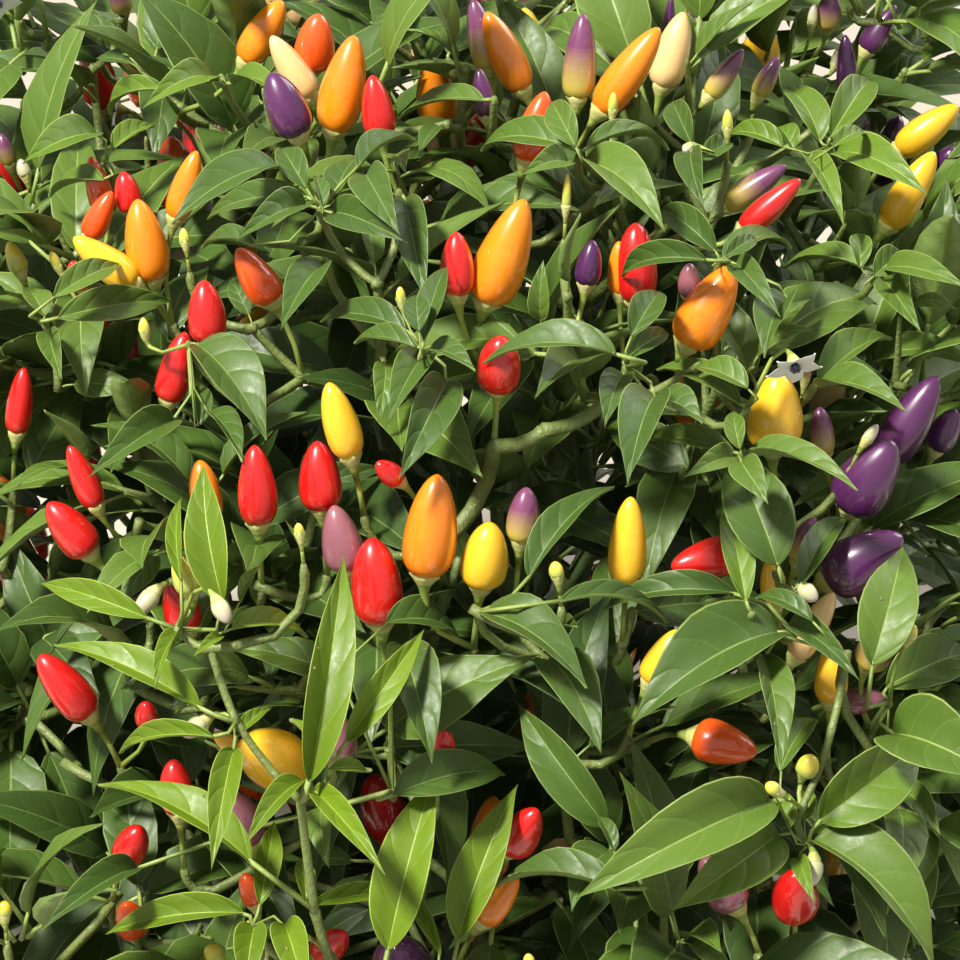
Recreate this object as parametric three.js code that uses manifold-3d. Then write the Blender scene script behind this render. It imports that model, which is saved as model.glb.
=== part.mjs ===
// A bushy ornamental chilli pepper plant with upright fruit, growing in the ground.
// Millimetres, +Z up, the origin at the middle of the flat cut under the main stem.
//
// The main stem forks in two, and every limb above it forks in two again, so that sixteen
// branches reach sixteen spots spaced evenly under the dome of the crown. Each branch
// carries one mass of foliage: a twig that goes on forking, with leaves and upright fruit
// at its forks and a whorl of leaves at each end. Shorter masses grow from the main stem.
import * as THREE from 'three';
import { mergeVertices } from 'three/addons/utils/BufferGeometryUtils.js';
import Module from 'manifold-3d';

const wasm = await Module();
wasm.setup();
const { Manifold, Mesh: SolidMesh } = wasm;

// The main stem
const stemHeight = 92;
const stemLean = 7; // degrees from upright at its fork
const stemLeanAzimuth = 205;
const stemFootRadius = 8.2;
const stemForkRadius = 6.2;
const rootFlare = 5.2; // how much wider the foot is at the ground
const rootFlareHeight = 13; // the height over which the flare dies away
const stemSides = 10;
const stemRings = 8;
const stemRingCrowding = 1.6; // above 1, the rings lie closer near the ground

// The limbs between the stem and the masses of foliage
const crownMasses = 16;
const forkLevels = Math.log2(crownMasses);
const spotShell = { radius: 116, height: 124, middle: 180 }; // where the branches end
const spotSpan = 100; // degrees from the top of the shell to its lowest spots
const limbRadius = [5.0, 4.2, 3.5, 3.0, 2.5]; // at the start of each level, and at the last end
const limbSag = 0.26; // how far a limb starts below its chord before it curves up
const limbSides = 5;
const limbRings = 2;

// The low masses on the main stem
const lowMasses = 5;
const lowestShoot = 38;
const highestShoot = 74;
const lowShootTilt = 70;
const lowShootAzimuth = 40;

// The twigs inside a mass, level by level from its stem
const twigLength = [27, 34, 31, 26];
const twigRadius = [3.2, 3.0, 2.8, 2.6, 2.2]; // to the corners of its three sides
const twigSpread = [37, 35, 33]; // degrees that each twig of a fork leans away from its parent
const twigLift = 0.2; // how far a twig turns towards the light
const twigSpreadStray = 0.2; // share of the spread
const twigWander = 8; // degrees
const twigStray = 0.12; // share of the length
const forkSwell = 1.3; // how much wider the node is where a twig forks
const forkCrotch = 0.6; // how far past its middle the line reaches that parts the node
const seedsPerMass = 1024;
const massMiddle = 70; // from the start of a mass's stem to the middle of its space

// Leaves: a blade folded along its midrib, arched, and a little larger than life
const leafLength = 72;
const leafWidth = 35;
const leafStray = 0.16;
const leafThickness = 1.3; // where it is widest
const leafSunk = 1; // how far past the axis of its twig the root reaches
const leafWidestAt = 0.42;
const leafFold = 0.16; // of the width, up from the midrib to each edge
const leafArch = 0.05; // of the length, up from the chord
const leafDroop = 0.2; // of the length, down at the tip
const leafSpacing = 3.5; // from the end of its twig to the nearest leaf, and between leaves
const leavesAtFork = 2;
const leavesAtTip = 4;
const leafRise = { fork: 24, tip: 34 }; // degrees towards the end of its twig
const leafRiseStray = 14;
const leafTurnStray = 26;
const leafRollStray = 20;
const leafWeight = 0.12; // how far it hangs down
const leafFacing = { forward: 0.45, up: 0.8 }; // what the direction of its face is mixed from
const leafTries = 6; // places tried for a leaf that would leave its space
const leafTurnAtTry = 50; // degrees from one try to the next, round the twig
const leafLiftAtTry = 9; // and up

// Fruit: an upright cone with a blunt tip on a short stalk
const fruitLength = 27;
const fruitRadius = 7.3;
const fruitStalk = 22;
const fruitStalkRadius = 1.2;
const fruitStalkNeck = 3.5; // the length over which the sunk end of the stalk widens
const fruitFootAt = 6; // from the end of its twig
const fruitStray = 0.14;
const fruitSides = 5;
const fruitLean = 0.5; // how far it leans at random
const fruitAtFork = 0.75; // share of the twigs that bear one below their fork
const fruitAtTip = 0.25;
const fruitRise = { forward: 0.55, up: 0.75 }; // what the stalk's direction is mixed from
const fruitUpturn = 0.35; // how far the fruit turns up from its stalk
const fruitOutline = [[0, 0.2], [0.22, 1], [0.62, 0.78]]; // share of the length, and of the radius

const clearance = 0.3; // between neighbouring pieces
const smallestEdge = 0.01;
const rootShare = 0.3; // of a leaf or fruit: what may lie in a twig
const wallGap = 0.8; // from a mass to the wall of its own space
const lowestReach = 10; // no leaf hangs nearer to the ground

const up = new THREE.Vector3(0, 0, 1);
const goldenAngle = 180 * (3 - Math.sqrt(5));
const inRadians = THREE.MathUtils.degToRad;

// Park and Miller's generator: exact in whole numbers, so that it repeats anywhere.
function seededRandom(seed) {
  const modulus = 2147483647;
  let state = (seed * 7919 + 104729) % modulus;
  const next = () => {
    state = (state * 16807) % modulus;
    return state / modulus;
  };
  for (let skip = 0; skip < 4; skip += 1) next();
  return next;
}

// An even draw from -1 to 1.
const either = (random) => 2 * random() - 1;

// The unit vector at a compass angle from +X and a tilt from upright, in degrees.
function heading(azimuth, tilt) {
  const a = inRadians(azimuth);
  const t = inRadians(tilt);
  return new THREE.Vector3(Math.sin(t) * Math.cos(a), Math.sin(t) * Math.sin(a), Math.cos(t));
}

// A unit vector square to the direction, turned from the one nearest to upright by an angle.
function squareTo(direction, angle) {
  const base = Math.abs(direction.z) < 0.98 ? up : new THREE.Vector3(1, 0, 0);
  const side = new THREE.Vector3().crossVectors(base, direction).normalize();
  return side.applyAxisAngle(direction, inRadians(angle));
}

// A limb's axis: its heading turns evenly from its first to its last direction.
function axisOf(start, from, to, length) {
  const at = (t) => start.clone()
    .addScaledVector(from, length * (t - t * t / 2))
    .addScaledVector(to, length * t * t / 2);
  const directionAt = (t) => from.clone().multiplyScalar(1 - t).addScaledVector(to, t).normalize();
  return { start, from, to, length, at, directionAt, end: at(1) };
}

// The arc from one point to another that starts below its chord by the sag, and rises to it.
function risingArc(start, end, sag) {
  const chord = end.clone().sub(start);
  const along = chord.clone().normalize();
  const from = along.clone().addScaledVector(up, -sag).normalize();
  const facing = chord.dot(from);
  const length = chord.lengthSq() / facing;
  const to = along.multiplyScalar(2 * along.dot(from)).sub(from);
  return axisOf(start, from, to, length);
}

// The solid of a closed geometry.
function solidOf(geometry) {
  const bare = geometry.index ? geometry.toNonIndexed() : geometry.clone();
  bare.deleteAttribute('normal');
  bare.deleteAttribute('uv');
  const merged = mergeVertices(bare, 1e-4);
  return new Manifold(new SolidMesh({
    numProp: 3,
    vertProperties: new Float32Array(merged.attributes.position.array),
    triVerts: new Uint32Array(merged.index.array),
  }));
}

function geometryOf(solid) {
  const mesh = solid.getMesh();
  const geometry = new THREE.BufferGeometry();
  geometry.setAttribute('position', new THREE.BufferAttribute(mesh.vertProperties, 3));
  geometry.setIndex(new THREE.BufferAttribute(mesh.triVerts, 1));
  return geometry;
}

// Bends a geometry that stands along +Z, from 0 to 1, round an axis.
function bend(geometry, axis) {
  const place = geometry.attributes.position;
  const point = new THREE.Vector3();
  const turn = new THREE.Quaternion();
  for (let i = 0; i < place.count; i += 1) {
    point.fromBufferAttribute(place, i);
    const t = point.z;
    turn.setFromUnitVectors(up, axis.directionAt(t));
    point.setZ(0).applyQuaternion(turn).add(axis.at(t));
    place.setXYZ(i, point.x, point.y, point.z);
  }
  return geometry;
}

// A tapered round limb along its axis. A wider one, longer at both ends, cuts its neighbours clear.
function limbSolid({ axis, thick, thin }, sides, extra = 0) {
  const over = extra / axis.length;
  const geometry = new THREE.CylinderGeometry(thin + extra, thick + extra, 1, sides, limbRings)
    .translate(0, 0.5, 0)
    .rotateX(Math.PI / 2)
    .scale(1, 1, 1 + 2 * over)
    .translate(0, 0, -over);
  return solidOf(bend(geometry, axis));
}

// The main stem, with the flare of its roots at a flat cut on the ground.
function stemSolid(axis, extra = 0) {
  const profile = [new THREE.Vector2(0, 0)];
  for (let i = 0; i <= stemRings; i += 1) {
    const t = (i / stemRings) ** stemRingCrowding;
    const flare = rootFlare * Math.exp(-t * stemHeight / rootFlareHeight);
    const taper = THREE.MathUtils.lerp(stemFootRadius, stemForkRadius, t);
    profile.push(new THREE.Vector2(taper + flare + extra, t));
  }
  profile.push(new THREE.Vector2(0, 1));
  const geometry = new THREE.LatheGeometry(profile, stemSides).rotateX(Math.PI / 2);
  return solidOf(bend(geometry, axis));
}

// The spots under the crown, spread by the golden angle over a shell from its top down.
function crownSpots() {
  const drop = 1 - Math.cos(inRadians(spotSpan));
  return Array.from({ length: crownMasses }, (_, i) => {
    const height = 1 - drop * (i + 0.5) / crownMasses;
    const reach = Math.sqrt(1 - height * height);
    const turn = inRadians(i * goldenAngle);
    return new THREE.Vector3(
      spotShell.radius * reach * Math.cos(turn),
      spotShell.radius * reach * Math.sin(turn),
      spotShell.middle + spotShell.height * height,
    );
  });
}

const middleOf = (points) => points
  .reduce((sum, point) => sum.add(point), new THREE.Vector3())
  .divideScalar(points.length);

// Halves the spots across the axis along which they spread widest.
function halve(spots) {
  const spreads = ['x', 'y', 'z'].map((k) => {
    const values = spots.map((spot) => spot[k]);
    return { k, width: Math.max(...values) - Math.min(...values) };
  });
  const { k } = spreads.sort((a, b) => b.width - a.width)[0];
  const sorted = [...spots].sort((a, b) => b[k] - a[k]);
  return [sorted.slice(0, spots.length / 2), sorted.slice(spots.length / 2)];
}

// Two limbs leave each fork, each towards the middle of its half of the spots.
function forkLimbs(start, spots, level, path, limbs) {
  halve(spots).forEach((half, side) => {
    const name = [...path, side + 1];
    const end = start.clone().lerp(middleOf(half), 1 / (forkLevels - level));
    const limb = {
      name: `${level < 2 ? 'bough' : 'branch'}_${name.join('_')}`,
      axis: risingArc(start, end, limbSag),
      thick: limbRadius[level],
      thin: limbRadius[level + 1],
      bearsFoliage: half.length === 1,
    };
    limbs.push(limb);
    if (!limb.bearsFoliage) forkLimbs(end, half, level + 1, name, limbs);
  });
  return limbs;
}

// Every twig of a mass, each before those that fork from it. A twig draws from a seed of
// its own, so that what grows on one changes nothing on another.
function growTwigs(mass) {
  const twigs = [];
  const grow = (start, from, across, level, mark, parent, side) => {
    const random = seededRandom(mass.seed * seedsPerMass + mark);
    const wander = squareTo(from, 360 * random());
    const first = from.clone()
      .addScaledVector(wander, Math.tan(inRadians(twigWander)) * random())
      .normalize();
    const last = first.clone().addScaledVector(up, twigLift).normalize();
    const length = twigLength[level] * (1 + twigStray * either(random));
    const spread = inRadians((twigSpread[level] ?? 0) * (1 + twigSpreadStray * either(random)));
    const axis = axisOf(start, first, last, length);
    const flat = across.clone().addScaledVector(last, -across.dot(last)).normalize();
    const isTip = level + 1 === twigLength.length;
    const twig = { axis, flat, side, level, parent, random, isTip };
    twigs.push(twig);
    if (isTip) return;
    [1, -1].forEach((side, i) => {
      const next = last.clone().multiplyScalar(Math.cos(spread))
        .addScaledVector(flat, side * Math.sin(spread));
      const turned = new THREE.Vector3().crossVectors(next, flat).normalize();
      grow(axis.end, next, turned, level + 1, 2 * mark + i, twig, side);
    });
  };
  grow(mass.start, mass.heading, squareTo(mass.heading, mass.seed * goldenAngle), 0, 1, null, 0);
  return twigs;
}

// The upright fruit that some twigs bear below their fork, and a few below their tip.
function fruitOf({ axis, level, random, isTip }) {
  const chance = random();
  const lean = squareTo(up, 360 * random()).multiplyScalar(fruitLean * random());
  const length = fruitLength * (1 + fruitStray * either(random));
  const radius = fruitRadius * (1 + fruitStray * either(random));
  if (level < 1 || chance > (isTip ? fruitAtTip : fruitAtFork)) return null;
  const foot = axis.start.clone().lerp(axis.end, 1 - fruitFootAt / axis.length);
  const rise = axis.to.clone().multiplyScalar(fruitRise.forward)
    .addScaledVector(up, fruitRise.up)
    .add(lean)
    .normalize();
  const point = rise.clone().addScaledVector(up, fruitUpturn).add(lean).normalize();
  return { axis: axisOf(foot, rise, point, fruitStalk + length), length, radius };
}

// The leaves near the end of a twig: on both sides of a fork, or a whorl at a tip. The
// stem of a mass is bare.
function leavesOf({ axis, flat, level, random, isTip }) {
  const forward = axis.to;
  const beside = new THREE.Vector3().crossVectors(forward, flat).normalize();
  if (level === 0) return [];
  const count = isTip ? leavesAtTip : leavesAtFork;
  return Array.from({ length: count }, (_, i) => ({
    foot: axis.start.clone().lerp(axis.end, 1 - leafSpacing * (i + 1) / axis.length),
    forward,
    beside,
    round: i * 360 / count + leafTurnStray * either(random),
    rise: (isTip ? leafRise.tip : leafRise.fork) + leafRiseStray * either(random),
    roll: leafRollStray * either(random),
    size: 1 + leafStray * either(random),
  }));
}

// The outline points of a leaf, turned further round its twig and raised at each new try.
function leafPoints({ foot, forward, beside, round, rise, roll, size }, tries) {
  const out = beside.clone().applyAxisAngle(forward, inRadians(round + tries * leafTurnAtTry));
  const lift = inRadians(rise + tries * leafLiftAtTry);
  const along = out.multiplyScalar(Math.cos(lift)).addScaledVector(forward, Math.sin(lift));
  along.addScaledVector(up, -leafWeight).normalize();
  const face = forward.clone().multiplyScalar(leafFacing.forward).addScaledVector(up, leafFacing.up);
  face.addScaledVector(along, -face.dot(along)).normalize();
  face.applyAxisAngle(along, inRadians(roll));
  const side = new THREE.Vector3().crossVectors(face, along);
  const length = leafLength * size;
  const width = leafWidth * size;
  const at = (forwards, sideways, raised) => foot.clone()
    .addScaledVector(along, forwards * length)
    .addScaledVector(side, sideways * width)
    .addScaledVector(face, raised * length);
  const edge = leafArch + leafFold * leafWidth / leafLength;
  const half = leafThickness / 2 / length;
  return [
    at(-leafSunk / length, 0, 0),
    at(leafWidestAt, 0, leafArch + half),
    at(leafWidestAt, 0, leafArch - half),
    at(1, 0, -leafDroop),
    at(leafWidestAt, 0.5, edge),
    at(leafWidestAt, -0.5, edge),
  ];
}

// A leaf is eight faces, folded along its midrib and thickest in the middle of it.
function leafSolid(points) {
  const [root, top, under, tip, left, right] = points.keys();
  const geometry = new THREE.BufferGeometry().setFromPoints(points);
  geometry.setIndex([
    root, top, left, top, tip, left, root, right, top, top, right, tip,
    root, left, under, under, left, tip, root, under, right, under, tip, right,
  ]);
  return solidOf(geometry);
}

// A fruit and its stalk are one lathed outline, bent along the stalk's rise.
function fruitSolid({ axis, length, radius }) {
  const share = (z) => (axis.length - length * (1 - z)) / axis.length;
  const profile = [
    new THREE.Vector2(0, 0),
    new THREE.Vector2(fruitStalkRadius, fruitStalkNeck / axis.length),
    ...fruitOutline.map(([z, r]) => new THREE.Vector2(r * radius, share(z))),
    new THREE.Vector2(0, 1),
  ];
  const geometry = new THREE.LatheGeometry(profile, fruitSides).rotateX(Math.PI / 2);
  return solidOf(bend(geometry, axis));
}

// Three corners round a place on a twig, the first one square to the plane of its fork.
function cornersAt(place, direction, flat, radius) {
  const first = new THREE.Vector3().crossVectors(direction, flat).normalize();
  return [0, 120, 240].map((angle) => first.clone()
    .applyAxisAngle(direction, inRadians(angle))
    .multiplyScalar(radius)
    .add(place));
}

// All twigs of a mass under one three-sided skin. At a fork, a line from the first corner
// of the twig's end to the middle of the side opposite parts the two twigs that go on.
function twigSkin(twigs) {
  const corners = [];
  const faces = [];
  const cover = (twig, ring) => {
    const next = twigs.filter(({ parent }) => parent === twig);
    const forks = next.length === 2;
    const direction = twig.axis.to.clone();
    if (next.length === 1) direction.add(next[0].axis.from).normalize();
    const radius = twigRadius[twig.level + 1] * (forks ? forkSwell : 1);
    const points = cornersAt(twig.axis.end, direction, twig.flat, radius);
    const twist = (shift) => ring
      .reduce((sum, corner, i) => sum + corners[corner].distanceTo(points[(i + shift) % 3]), 0);
    const shift = [0, 1, 2].sort((a, b) => twist(a) - twist(b))[0];
    const end = points.map((point) => corners.push(point) - 1);
    const [first, second, third] = end;
    const middle = corners.length;
    if (forks) corners.push(twig.axis.end.clone().lerp(points[0], -forkCrotch));
    ring.forEach((corner, i) => {
      const [left, right] = [end[(i + shift) % 3], end[(i + 1 + shift) % 3]];
      const parted = forks && left === second;
      const outline = [ring[(i + 1) % 3], right, ...(parted ? [middle] : []), left];
      outline.slice(1).forEach((point, j) => faces.push(corner, outline[j], point));
    });
    if (next.length === 0) faces.push(...end);
    for (const twigOn of next) {
      const parts = twigOn.side > 0 ? [first, middle, third] : [first, second, middle];
      cover(twigOn, forks ? parts : end);
    }
  };
  const [stem] = twigs;
  const foot = cornersAt(stem.axis.start, stem.axis.from, stem.flat, twigRadius[0])
    .map((point) => corners.push(point) - 1);
  faces.push(foot[0], foot[2], foot[1]);
  cover(stem, foot);
  return solidOf(new THREE.BufferGeometry().setFromPoints(corners).setIndex(faces));
}

// Whether all points are on this mass's side of the walls half way to the other masses.
function inOwnSpace(points, mass, masses) {
  return masses.every((other) => {
    if (other === mass) return true;
    const across = other.centre.clone().sub(mass.centre);
    const wall = across.length() / 2 - wallGap;
    across.normalize();
    return points.every((point) => point.clone().sub(mass.centre).dot(across) < wall);
  });
}

// A plain three-sided rod round an axis, to test what crosses its way.
const rodSolid = (axis, radius) => limbSolid({ axis, thick: radius, thin: radius }, 3);

// What is left of an axis past its root.
function pastRoot({ at, directionAt, to, length }) {
  return axisOf(at(rootShare), directionAt(rootShare), to, (1 - rootShare) * length);
}

const largestOf = (solid) => solid.decompose()
  .reduce((most, piece) => (piece.volume() > most.volume() ? piece : most));

// One mass: the twigs that keep to its space and clear of the limbs, then the fruit and the
// leaves that also keep clear of each other, and of the twigs other than at their roots.
function massSolid(mass, masses, limbsGrown) {
  const twigs = [];
  for (const twig of growTwigs(mass)) {
    const { axis, parent } = twig;
    const isStem = parent === null;
    const reachesClear = inOwnSpace([axis.at(0.5), axis.end], mass, masses)
      && rodSolid(axis, twigRadius[0]).intersect(limbsGrown).isEmpty();
    if (isStem || (twigs.includes(parent) && reachesClear)) twigs.push(twig);
  }
  const wood = twigSkin(twigs);
  let placed = limbsGrown;
  const hung = [wood];
  const hang = (solid, outerPart) => {
    if (!solid.intersect(placed).isEmpty() || !outerPart.intersect(wood).isEmpty()) return false;
    placed = placed.add(solid);
    hung.push(solid);
    return true;
  };
  for (const fruit of twigs.map(fruitOf)) {
    const fits = fruit && inOwnSpace([fruit.axis.end], mass, masses);
    if (fits) hang(fruitSolid(fruit), rodSolid(pastRoot(fruit.axis), fruit.radius));
  }
  for (const leaf of twigs.flatMap(leavesOf)) {
    for (let tries = 0; tries < leafTries; tries += 1) {
      const points = leafPoints(leaf, tries);
      const fits = inOwnSpace(points, mass, masses) && points.every((p) => p.z > lowestReach);
      const [root, top] = points;
      const outer = leafSolid([root.clone().lerp(top, rootShare), ...points.slice(1)]);
      if (fits && hang(leafSolid(points), outer)) break;
    }
  }
  return largestOf(Manifold.union(hung).subtract(limbsGrown).simplify(smallestEdge));
}

const colours = {
  oldBark: new THREE.MeshStandardMaterial({ color: 0x6f6a48, roughness: 0.85, metalness: 0 }),
  greenBark: new THREE.MeshStandardMaterial({ color: 0x6d8a3a, roughness: 0.6, metalness: 0 }),
  foliage: new THREE.MeshStandardMaterial({ color: 0x35602c, roughness: 0.5, metalness: 0 }),
};

const plant = new THREE.Group();

function addPiece(name, solid, material) {
  const mesh = new THREE.Mesh(geometryOf(solid), material);
  mesh.name = name;
  plant.add(mesh);
}

// Each limb is cut clear of the stem and of the limbs that come before it.
const stemAxis = axisOf(new THREE.Vector3(), up, heading(stemLeanAzimuth, stemLean), stemHeight);
const limbs = forkLimbs(stemAxis.end, crownSpots(), 0, [], []);
let limbsGrown = stemSolid(stemAxis, clearance);
addPiece('main_stem', stemSolid(stemAxis), colours.oldBark);
for (const limb of limbs) {
  addPiece(limb.name, largestOf(limbSolid(limb, limbSides).subtract(limbsGrown)), colours.greenBark);
  limbsGrown = limbsGrown.add(limbSolid(limb, limbSides, clearance));
}

const crown = limbs.filter((limb) => limb.bearsFoliage).map(({ axis }, i) => ({
  name: `foliage_${i + 1}`,
  seed: i + 1,
  start: axis.end,
  heading: axis.to,
  centre: axis.end.clone().addScaledVector(axis.to, massMiddle),
}));
const low = Array.from({ length: lowMasses }, (_, i) => {
  const height = THREE.MathUtils.lerp(lowestShoot, highestShoot, i / (lowMasses - 1));
  const outwards = heading(lowShootAzimuth + i * goldenAngle, lowShootTilt);
  const start = stemAxis.at(height / stemHeight);
  return {
    name: `low_foliage_${i + 1}`,
    seed: crownMasses + i + 1,
    start,
    heading: outwards,
    centre: start.clone().addScaledVector(outwards, massMiddle),
  };
});
const masses = [...crown, ...low];
for (const mass of masses) {
  addPiece(mass.name, massSolid(mass, masses, limbsGrown), colours.foliage);
}

export default plant;
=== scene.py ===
"""The looks of an ornamental chilli pepper plant, in metres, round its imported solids."""
import math

import bpy
import numpy as np
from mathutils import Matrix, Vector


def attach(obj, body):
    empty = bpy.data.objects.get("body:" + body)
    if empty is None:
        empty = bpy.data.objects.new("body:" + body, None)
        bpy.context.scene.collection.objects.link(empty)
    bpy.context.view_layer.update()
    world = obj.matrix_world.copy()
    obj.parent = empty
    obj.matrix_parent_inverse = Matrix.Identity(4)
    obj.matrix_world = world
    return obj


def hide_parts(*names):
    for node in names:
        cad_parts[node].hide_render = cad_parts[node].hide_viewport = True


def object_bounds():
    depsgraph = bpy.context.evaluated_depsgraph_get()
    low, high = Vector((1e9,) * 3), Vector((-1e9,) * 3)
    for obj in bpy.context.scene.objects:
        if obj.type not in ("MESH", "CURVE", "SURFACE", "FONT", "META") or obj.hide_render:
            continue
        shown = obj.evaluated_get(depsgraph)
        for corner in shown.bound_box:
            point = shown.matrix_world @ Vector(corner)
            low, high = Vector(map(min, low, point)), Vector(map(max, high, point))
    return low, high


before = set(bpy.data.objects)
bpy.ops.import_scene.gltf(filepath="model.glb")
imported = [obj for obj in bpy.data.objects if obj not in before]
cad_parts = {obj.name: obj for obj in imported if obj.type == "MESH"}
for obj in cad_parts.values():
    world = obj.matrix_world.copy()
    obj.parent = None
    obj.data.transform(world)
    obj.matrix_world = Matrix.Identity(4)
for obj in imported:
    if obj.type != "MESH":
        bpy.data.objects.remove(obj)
solid_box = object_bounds()

# The eye. The photograph looks down on the near side of the crown, which fills it to its edges,
# from about a metre away, and the far rim of the crown lies along its top.
picture_side = 960  # pixels
eye_elevation = math.radians(36)
eye_distance = 0.98
view_middle = np.array([0.0, -0.100, 0.330])
view_width = 0.285  # at the middle of the view

rightward = np.array([1.0, 0.0, 0.0])
away = np.array([0.0, math.cos(eye_elevation), -math.sin(eye_elevation)])
upward = np.array([0.0, math.sin(eye_elevation), math.cos(eye_elevation)])
eye = view_middle - away * eye_distance


def pixel_size(depth):
    """How many metres a pixel spans at a depth."""
    return view_width / picture_side / eye_distance * depth


def in_picture(points):
    """Column, row and depth of points: their offsets from the eye along the picture's sides, over
    the size of a pixel at their own depth, and along the line of sight, in metres."""
    seen = points - eye
    depth = seen @ away
    column = picture_side / 2 + seen @ rightward / pixel_size(depth)
    row = picture_side / 2 - seen @ upward / pixel_size(depth)
    return np.stack([column, row, depth], axis=-1)


def behind_pixel(column, row, depth):
    """The point at a depth on the line of sight through a pixel."""
    across = (column - picture_side / 2) * pixel_size(depth)
    raised = (picture_side / 2 - row) * pixel_size(depth)
    return eye + away * depth + rightward * across + upward * raised


camera = bpy.data.objects.new("eye", bpy.data.cameras.new("eye"))
camera.location = eye
camera.rotation_euler = (math.pi / 2 - eye_elevation, 0, 0)
camera.data.angle = 2 * math.atan(view_width / 2 / eye_distance)
bpy.context.collection.objects.link(camera)
bpy.context.scene.camera = camera

# The main stem. It is short, half woody and grey-brown, ribbed and corky, and widens into its
# roots at the flat cut on the ground. Every limb above it grows by the same rule of axes.
stem_height = 0.092
stem_lean = 7
stem_lean_azimuth = 205
stem_foot_radius = 0.0082
stem_fork_radius = 0.0062
root_flare = 0.0052
root_flare_height = 0.013
stem_sides = 72
stem_rings = 150
root_lobes = 5
bark_ribs = 11
bark_rib = 0.00035
bark_cork = 0.0003

up = np.array([0.0, 0.0, 1.0])
golden_angle = 180 * (3 - math.sqrt(5))


def unit(vectors):
    """Vectors divided by their lengths."""
    vectors = np.asarray(vectors, float)
    return vectors / np.linalg.norm(vectors, axis=-1, keepdims=True)


def gathered(things, key):
    """One value of many things, as an array."""
    return np.array([thing[key] for thing in things])


def turns(count):
    """Even steps of angle round a full turn."""
    return np.linspace(0, 2 * math.pi, count, endpoint=False)


def heading(azimuth, tilt):
    """The unit vector at a compass angle from +X and a tilt from upright, in degrees."""
    a, t = math.radians(azimuth), math.radians(tilt)
    return np.array([math.sin(t) * math.cos(a), math.sin(t) * math.sin(a), math.cos(t)])


def axis_of(start, first, last, length):
    """An axis whose heading turns evenly from the first direction to the last one."""
    end = start + (first + last) * length / 2
    return {"start": start, "first": first, "last": last, "length": length, "end": end}


def places_on(axes, share):
    """Points and headings on many axes at shares of their lengths. The heading is a mix of the
    first and the last, and the point is its running sum: t - t*t/2 of the first, t*t/2 of the
    last."""
    start, first, last = (gathered(axes, key)[:, None] for key in ("start", "first", "last"))
    length = gathered(axes, "length")[:, None, None]
    t = np.broadcast_to(share, (len(axes), np.shape(share)[-1]))[..., None]
    points = start + length * (first * (t - t * t / 2) + last * t * t / 2)
    return points, unit(first * (1 - t) + last * t)


def skins(axes, share, radius, sides):
    """Rings of points round many axes, and a point that closes each end. A ring stands square on
    its axis: centre + radius * (cosine of one normal + sine of the other)."""
    centre, ahead = places_on(axes, share)
    first, last = ahead[:, 0], ahead[:, -1]
    normal = np.cross(first, last)
    level = np.cross(first, np.where(abs(first[:, 2:]) < 0.9, up, rightward))
    bent = np.linalg.norm(normal, axis=1, keepdims=True) > 1e-3
    beside = unit(np.where(bent, normal, level))[:, None]
    above = np.cross(ahead, beside)
    turn = turns(sides)[None, None, :, None]
    radius = np.broadcast_to(radius, (*centre.shape[:2], sides))[..., None]
    round_axis = np.cos(turn) * beside[:, :, None] + np.sin(turn) * above[:, :, None]
    return centre[:, :, None] + radius * round_axis, centre[:, [0, -1]]


def make_piece(name, rings, ends, materials, slot, worn=None, marks=None):
    """One mesh of many closed skins. Each skin is rings of points joined by four-sided faces,
    and closed by a fan at each end. worn gives the material of each strip along or round the
    skins, and marks holds named values for each point."""
    count, rows, sides, _ = rings.shape
    block = rows * sides + 2
    points = np.concatenate([rings.reshape(count, -1, 3), ends], axis=1)
    row, side = np.meshgrid(np.arange(rows - 1), np.arange(sides), indexing="ij")
    following = (side + 1) % sides
    strip = np.stack([row * sides + side, row * sides + following,
                      (row + 1) * sides + following, (row + 1) * sides + side], axis=-1)
    first, then = np.arange(sides), (np.arange(sides) + 1) % sides
    last_row = (rows - 1) * sides
    foot_fan = np.stack([then, first, np.full(sides, block - 2)], axis=-1)
    end_fan = np.stack([last_row + first, last_row + then, np.full(sides, block - 1)], axis=-1)
    fans = np.concatenate([foot_fan, end_fan])
    shift = np.arange(count)[:, None, None] * block
    quads = (strip.reshape(1, -1, 4) + shift).reshape(-1, 4)
    triangles = (fans[None] + shift).reshape(-1, 3)
    corners = np.concatenate([quads.ravel(), triangles.ravel()]).astype(np.int32)
    sizes = np.concatenate([np.full(len(quads), 4), np.full(len(triangles), 3)])
    mesh = bpy.data.meshes.new(name)
    mesh.vertices.add(count * block)
    mesh.vertices.foreach_set("co", points.astype(np.float32).ravel())
    mesh.loops.add(len(corners))
    mesh.loops.foreach_set("vertex_index", corners)
    mesh.polygons.add(len(sizes))
    mesh.polygons.foreach_set("loop_start", (np.cumsum(sizes) - sizes).astype(np.int32))
    mesh.polygons.foreach_set("use_smooth", np.ones(len(sizes), bool))
    for material in materials:
        mesh.materials.append(material)
    if worn is not None:
        worn = np.broadcast_to(np.asarray(worn, np.int32), (rows - 1, sides))
        closing = np.concatenate([worn[0], worn[-1]])
        worn = np.concatenate([np.tile(worn.ravel(), count), np.tile(closing, count)])
        mesh.polygons.foreach_set("material_index", worn)
    for mark, values in (marks or {}).items():
        written = mesh.attributes.new(mark, "FLOAT_VECTOR", "POINT")
        written.data.foreach_set("vector", values.reshape(-1).astype(np.float32))
    mesh.update(calc_edges=True)
    made = bpy.data.objects.new(name, mesh)
    bpy.context.collection.objects.link(made)
    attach(made, "root")
    return made


def new_material(name):
    """A material's node tree and its Principled shader."""
    made = bpy.data.materials.new(name)
    made.use_nodes = True
    return made, made.node_tree, made.node_tree.nodes["Principled BSDF"]


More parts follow.
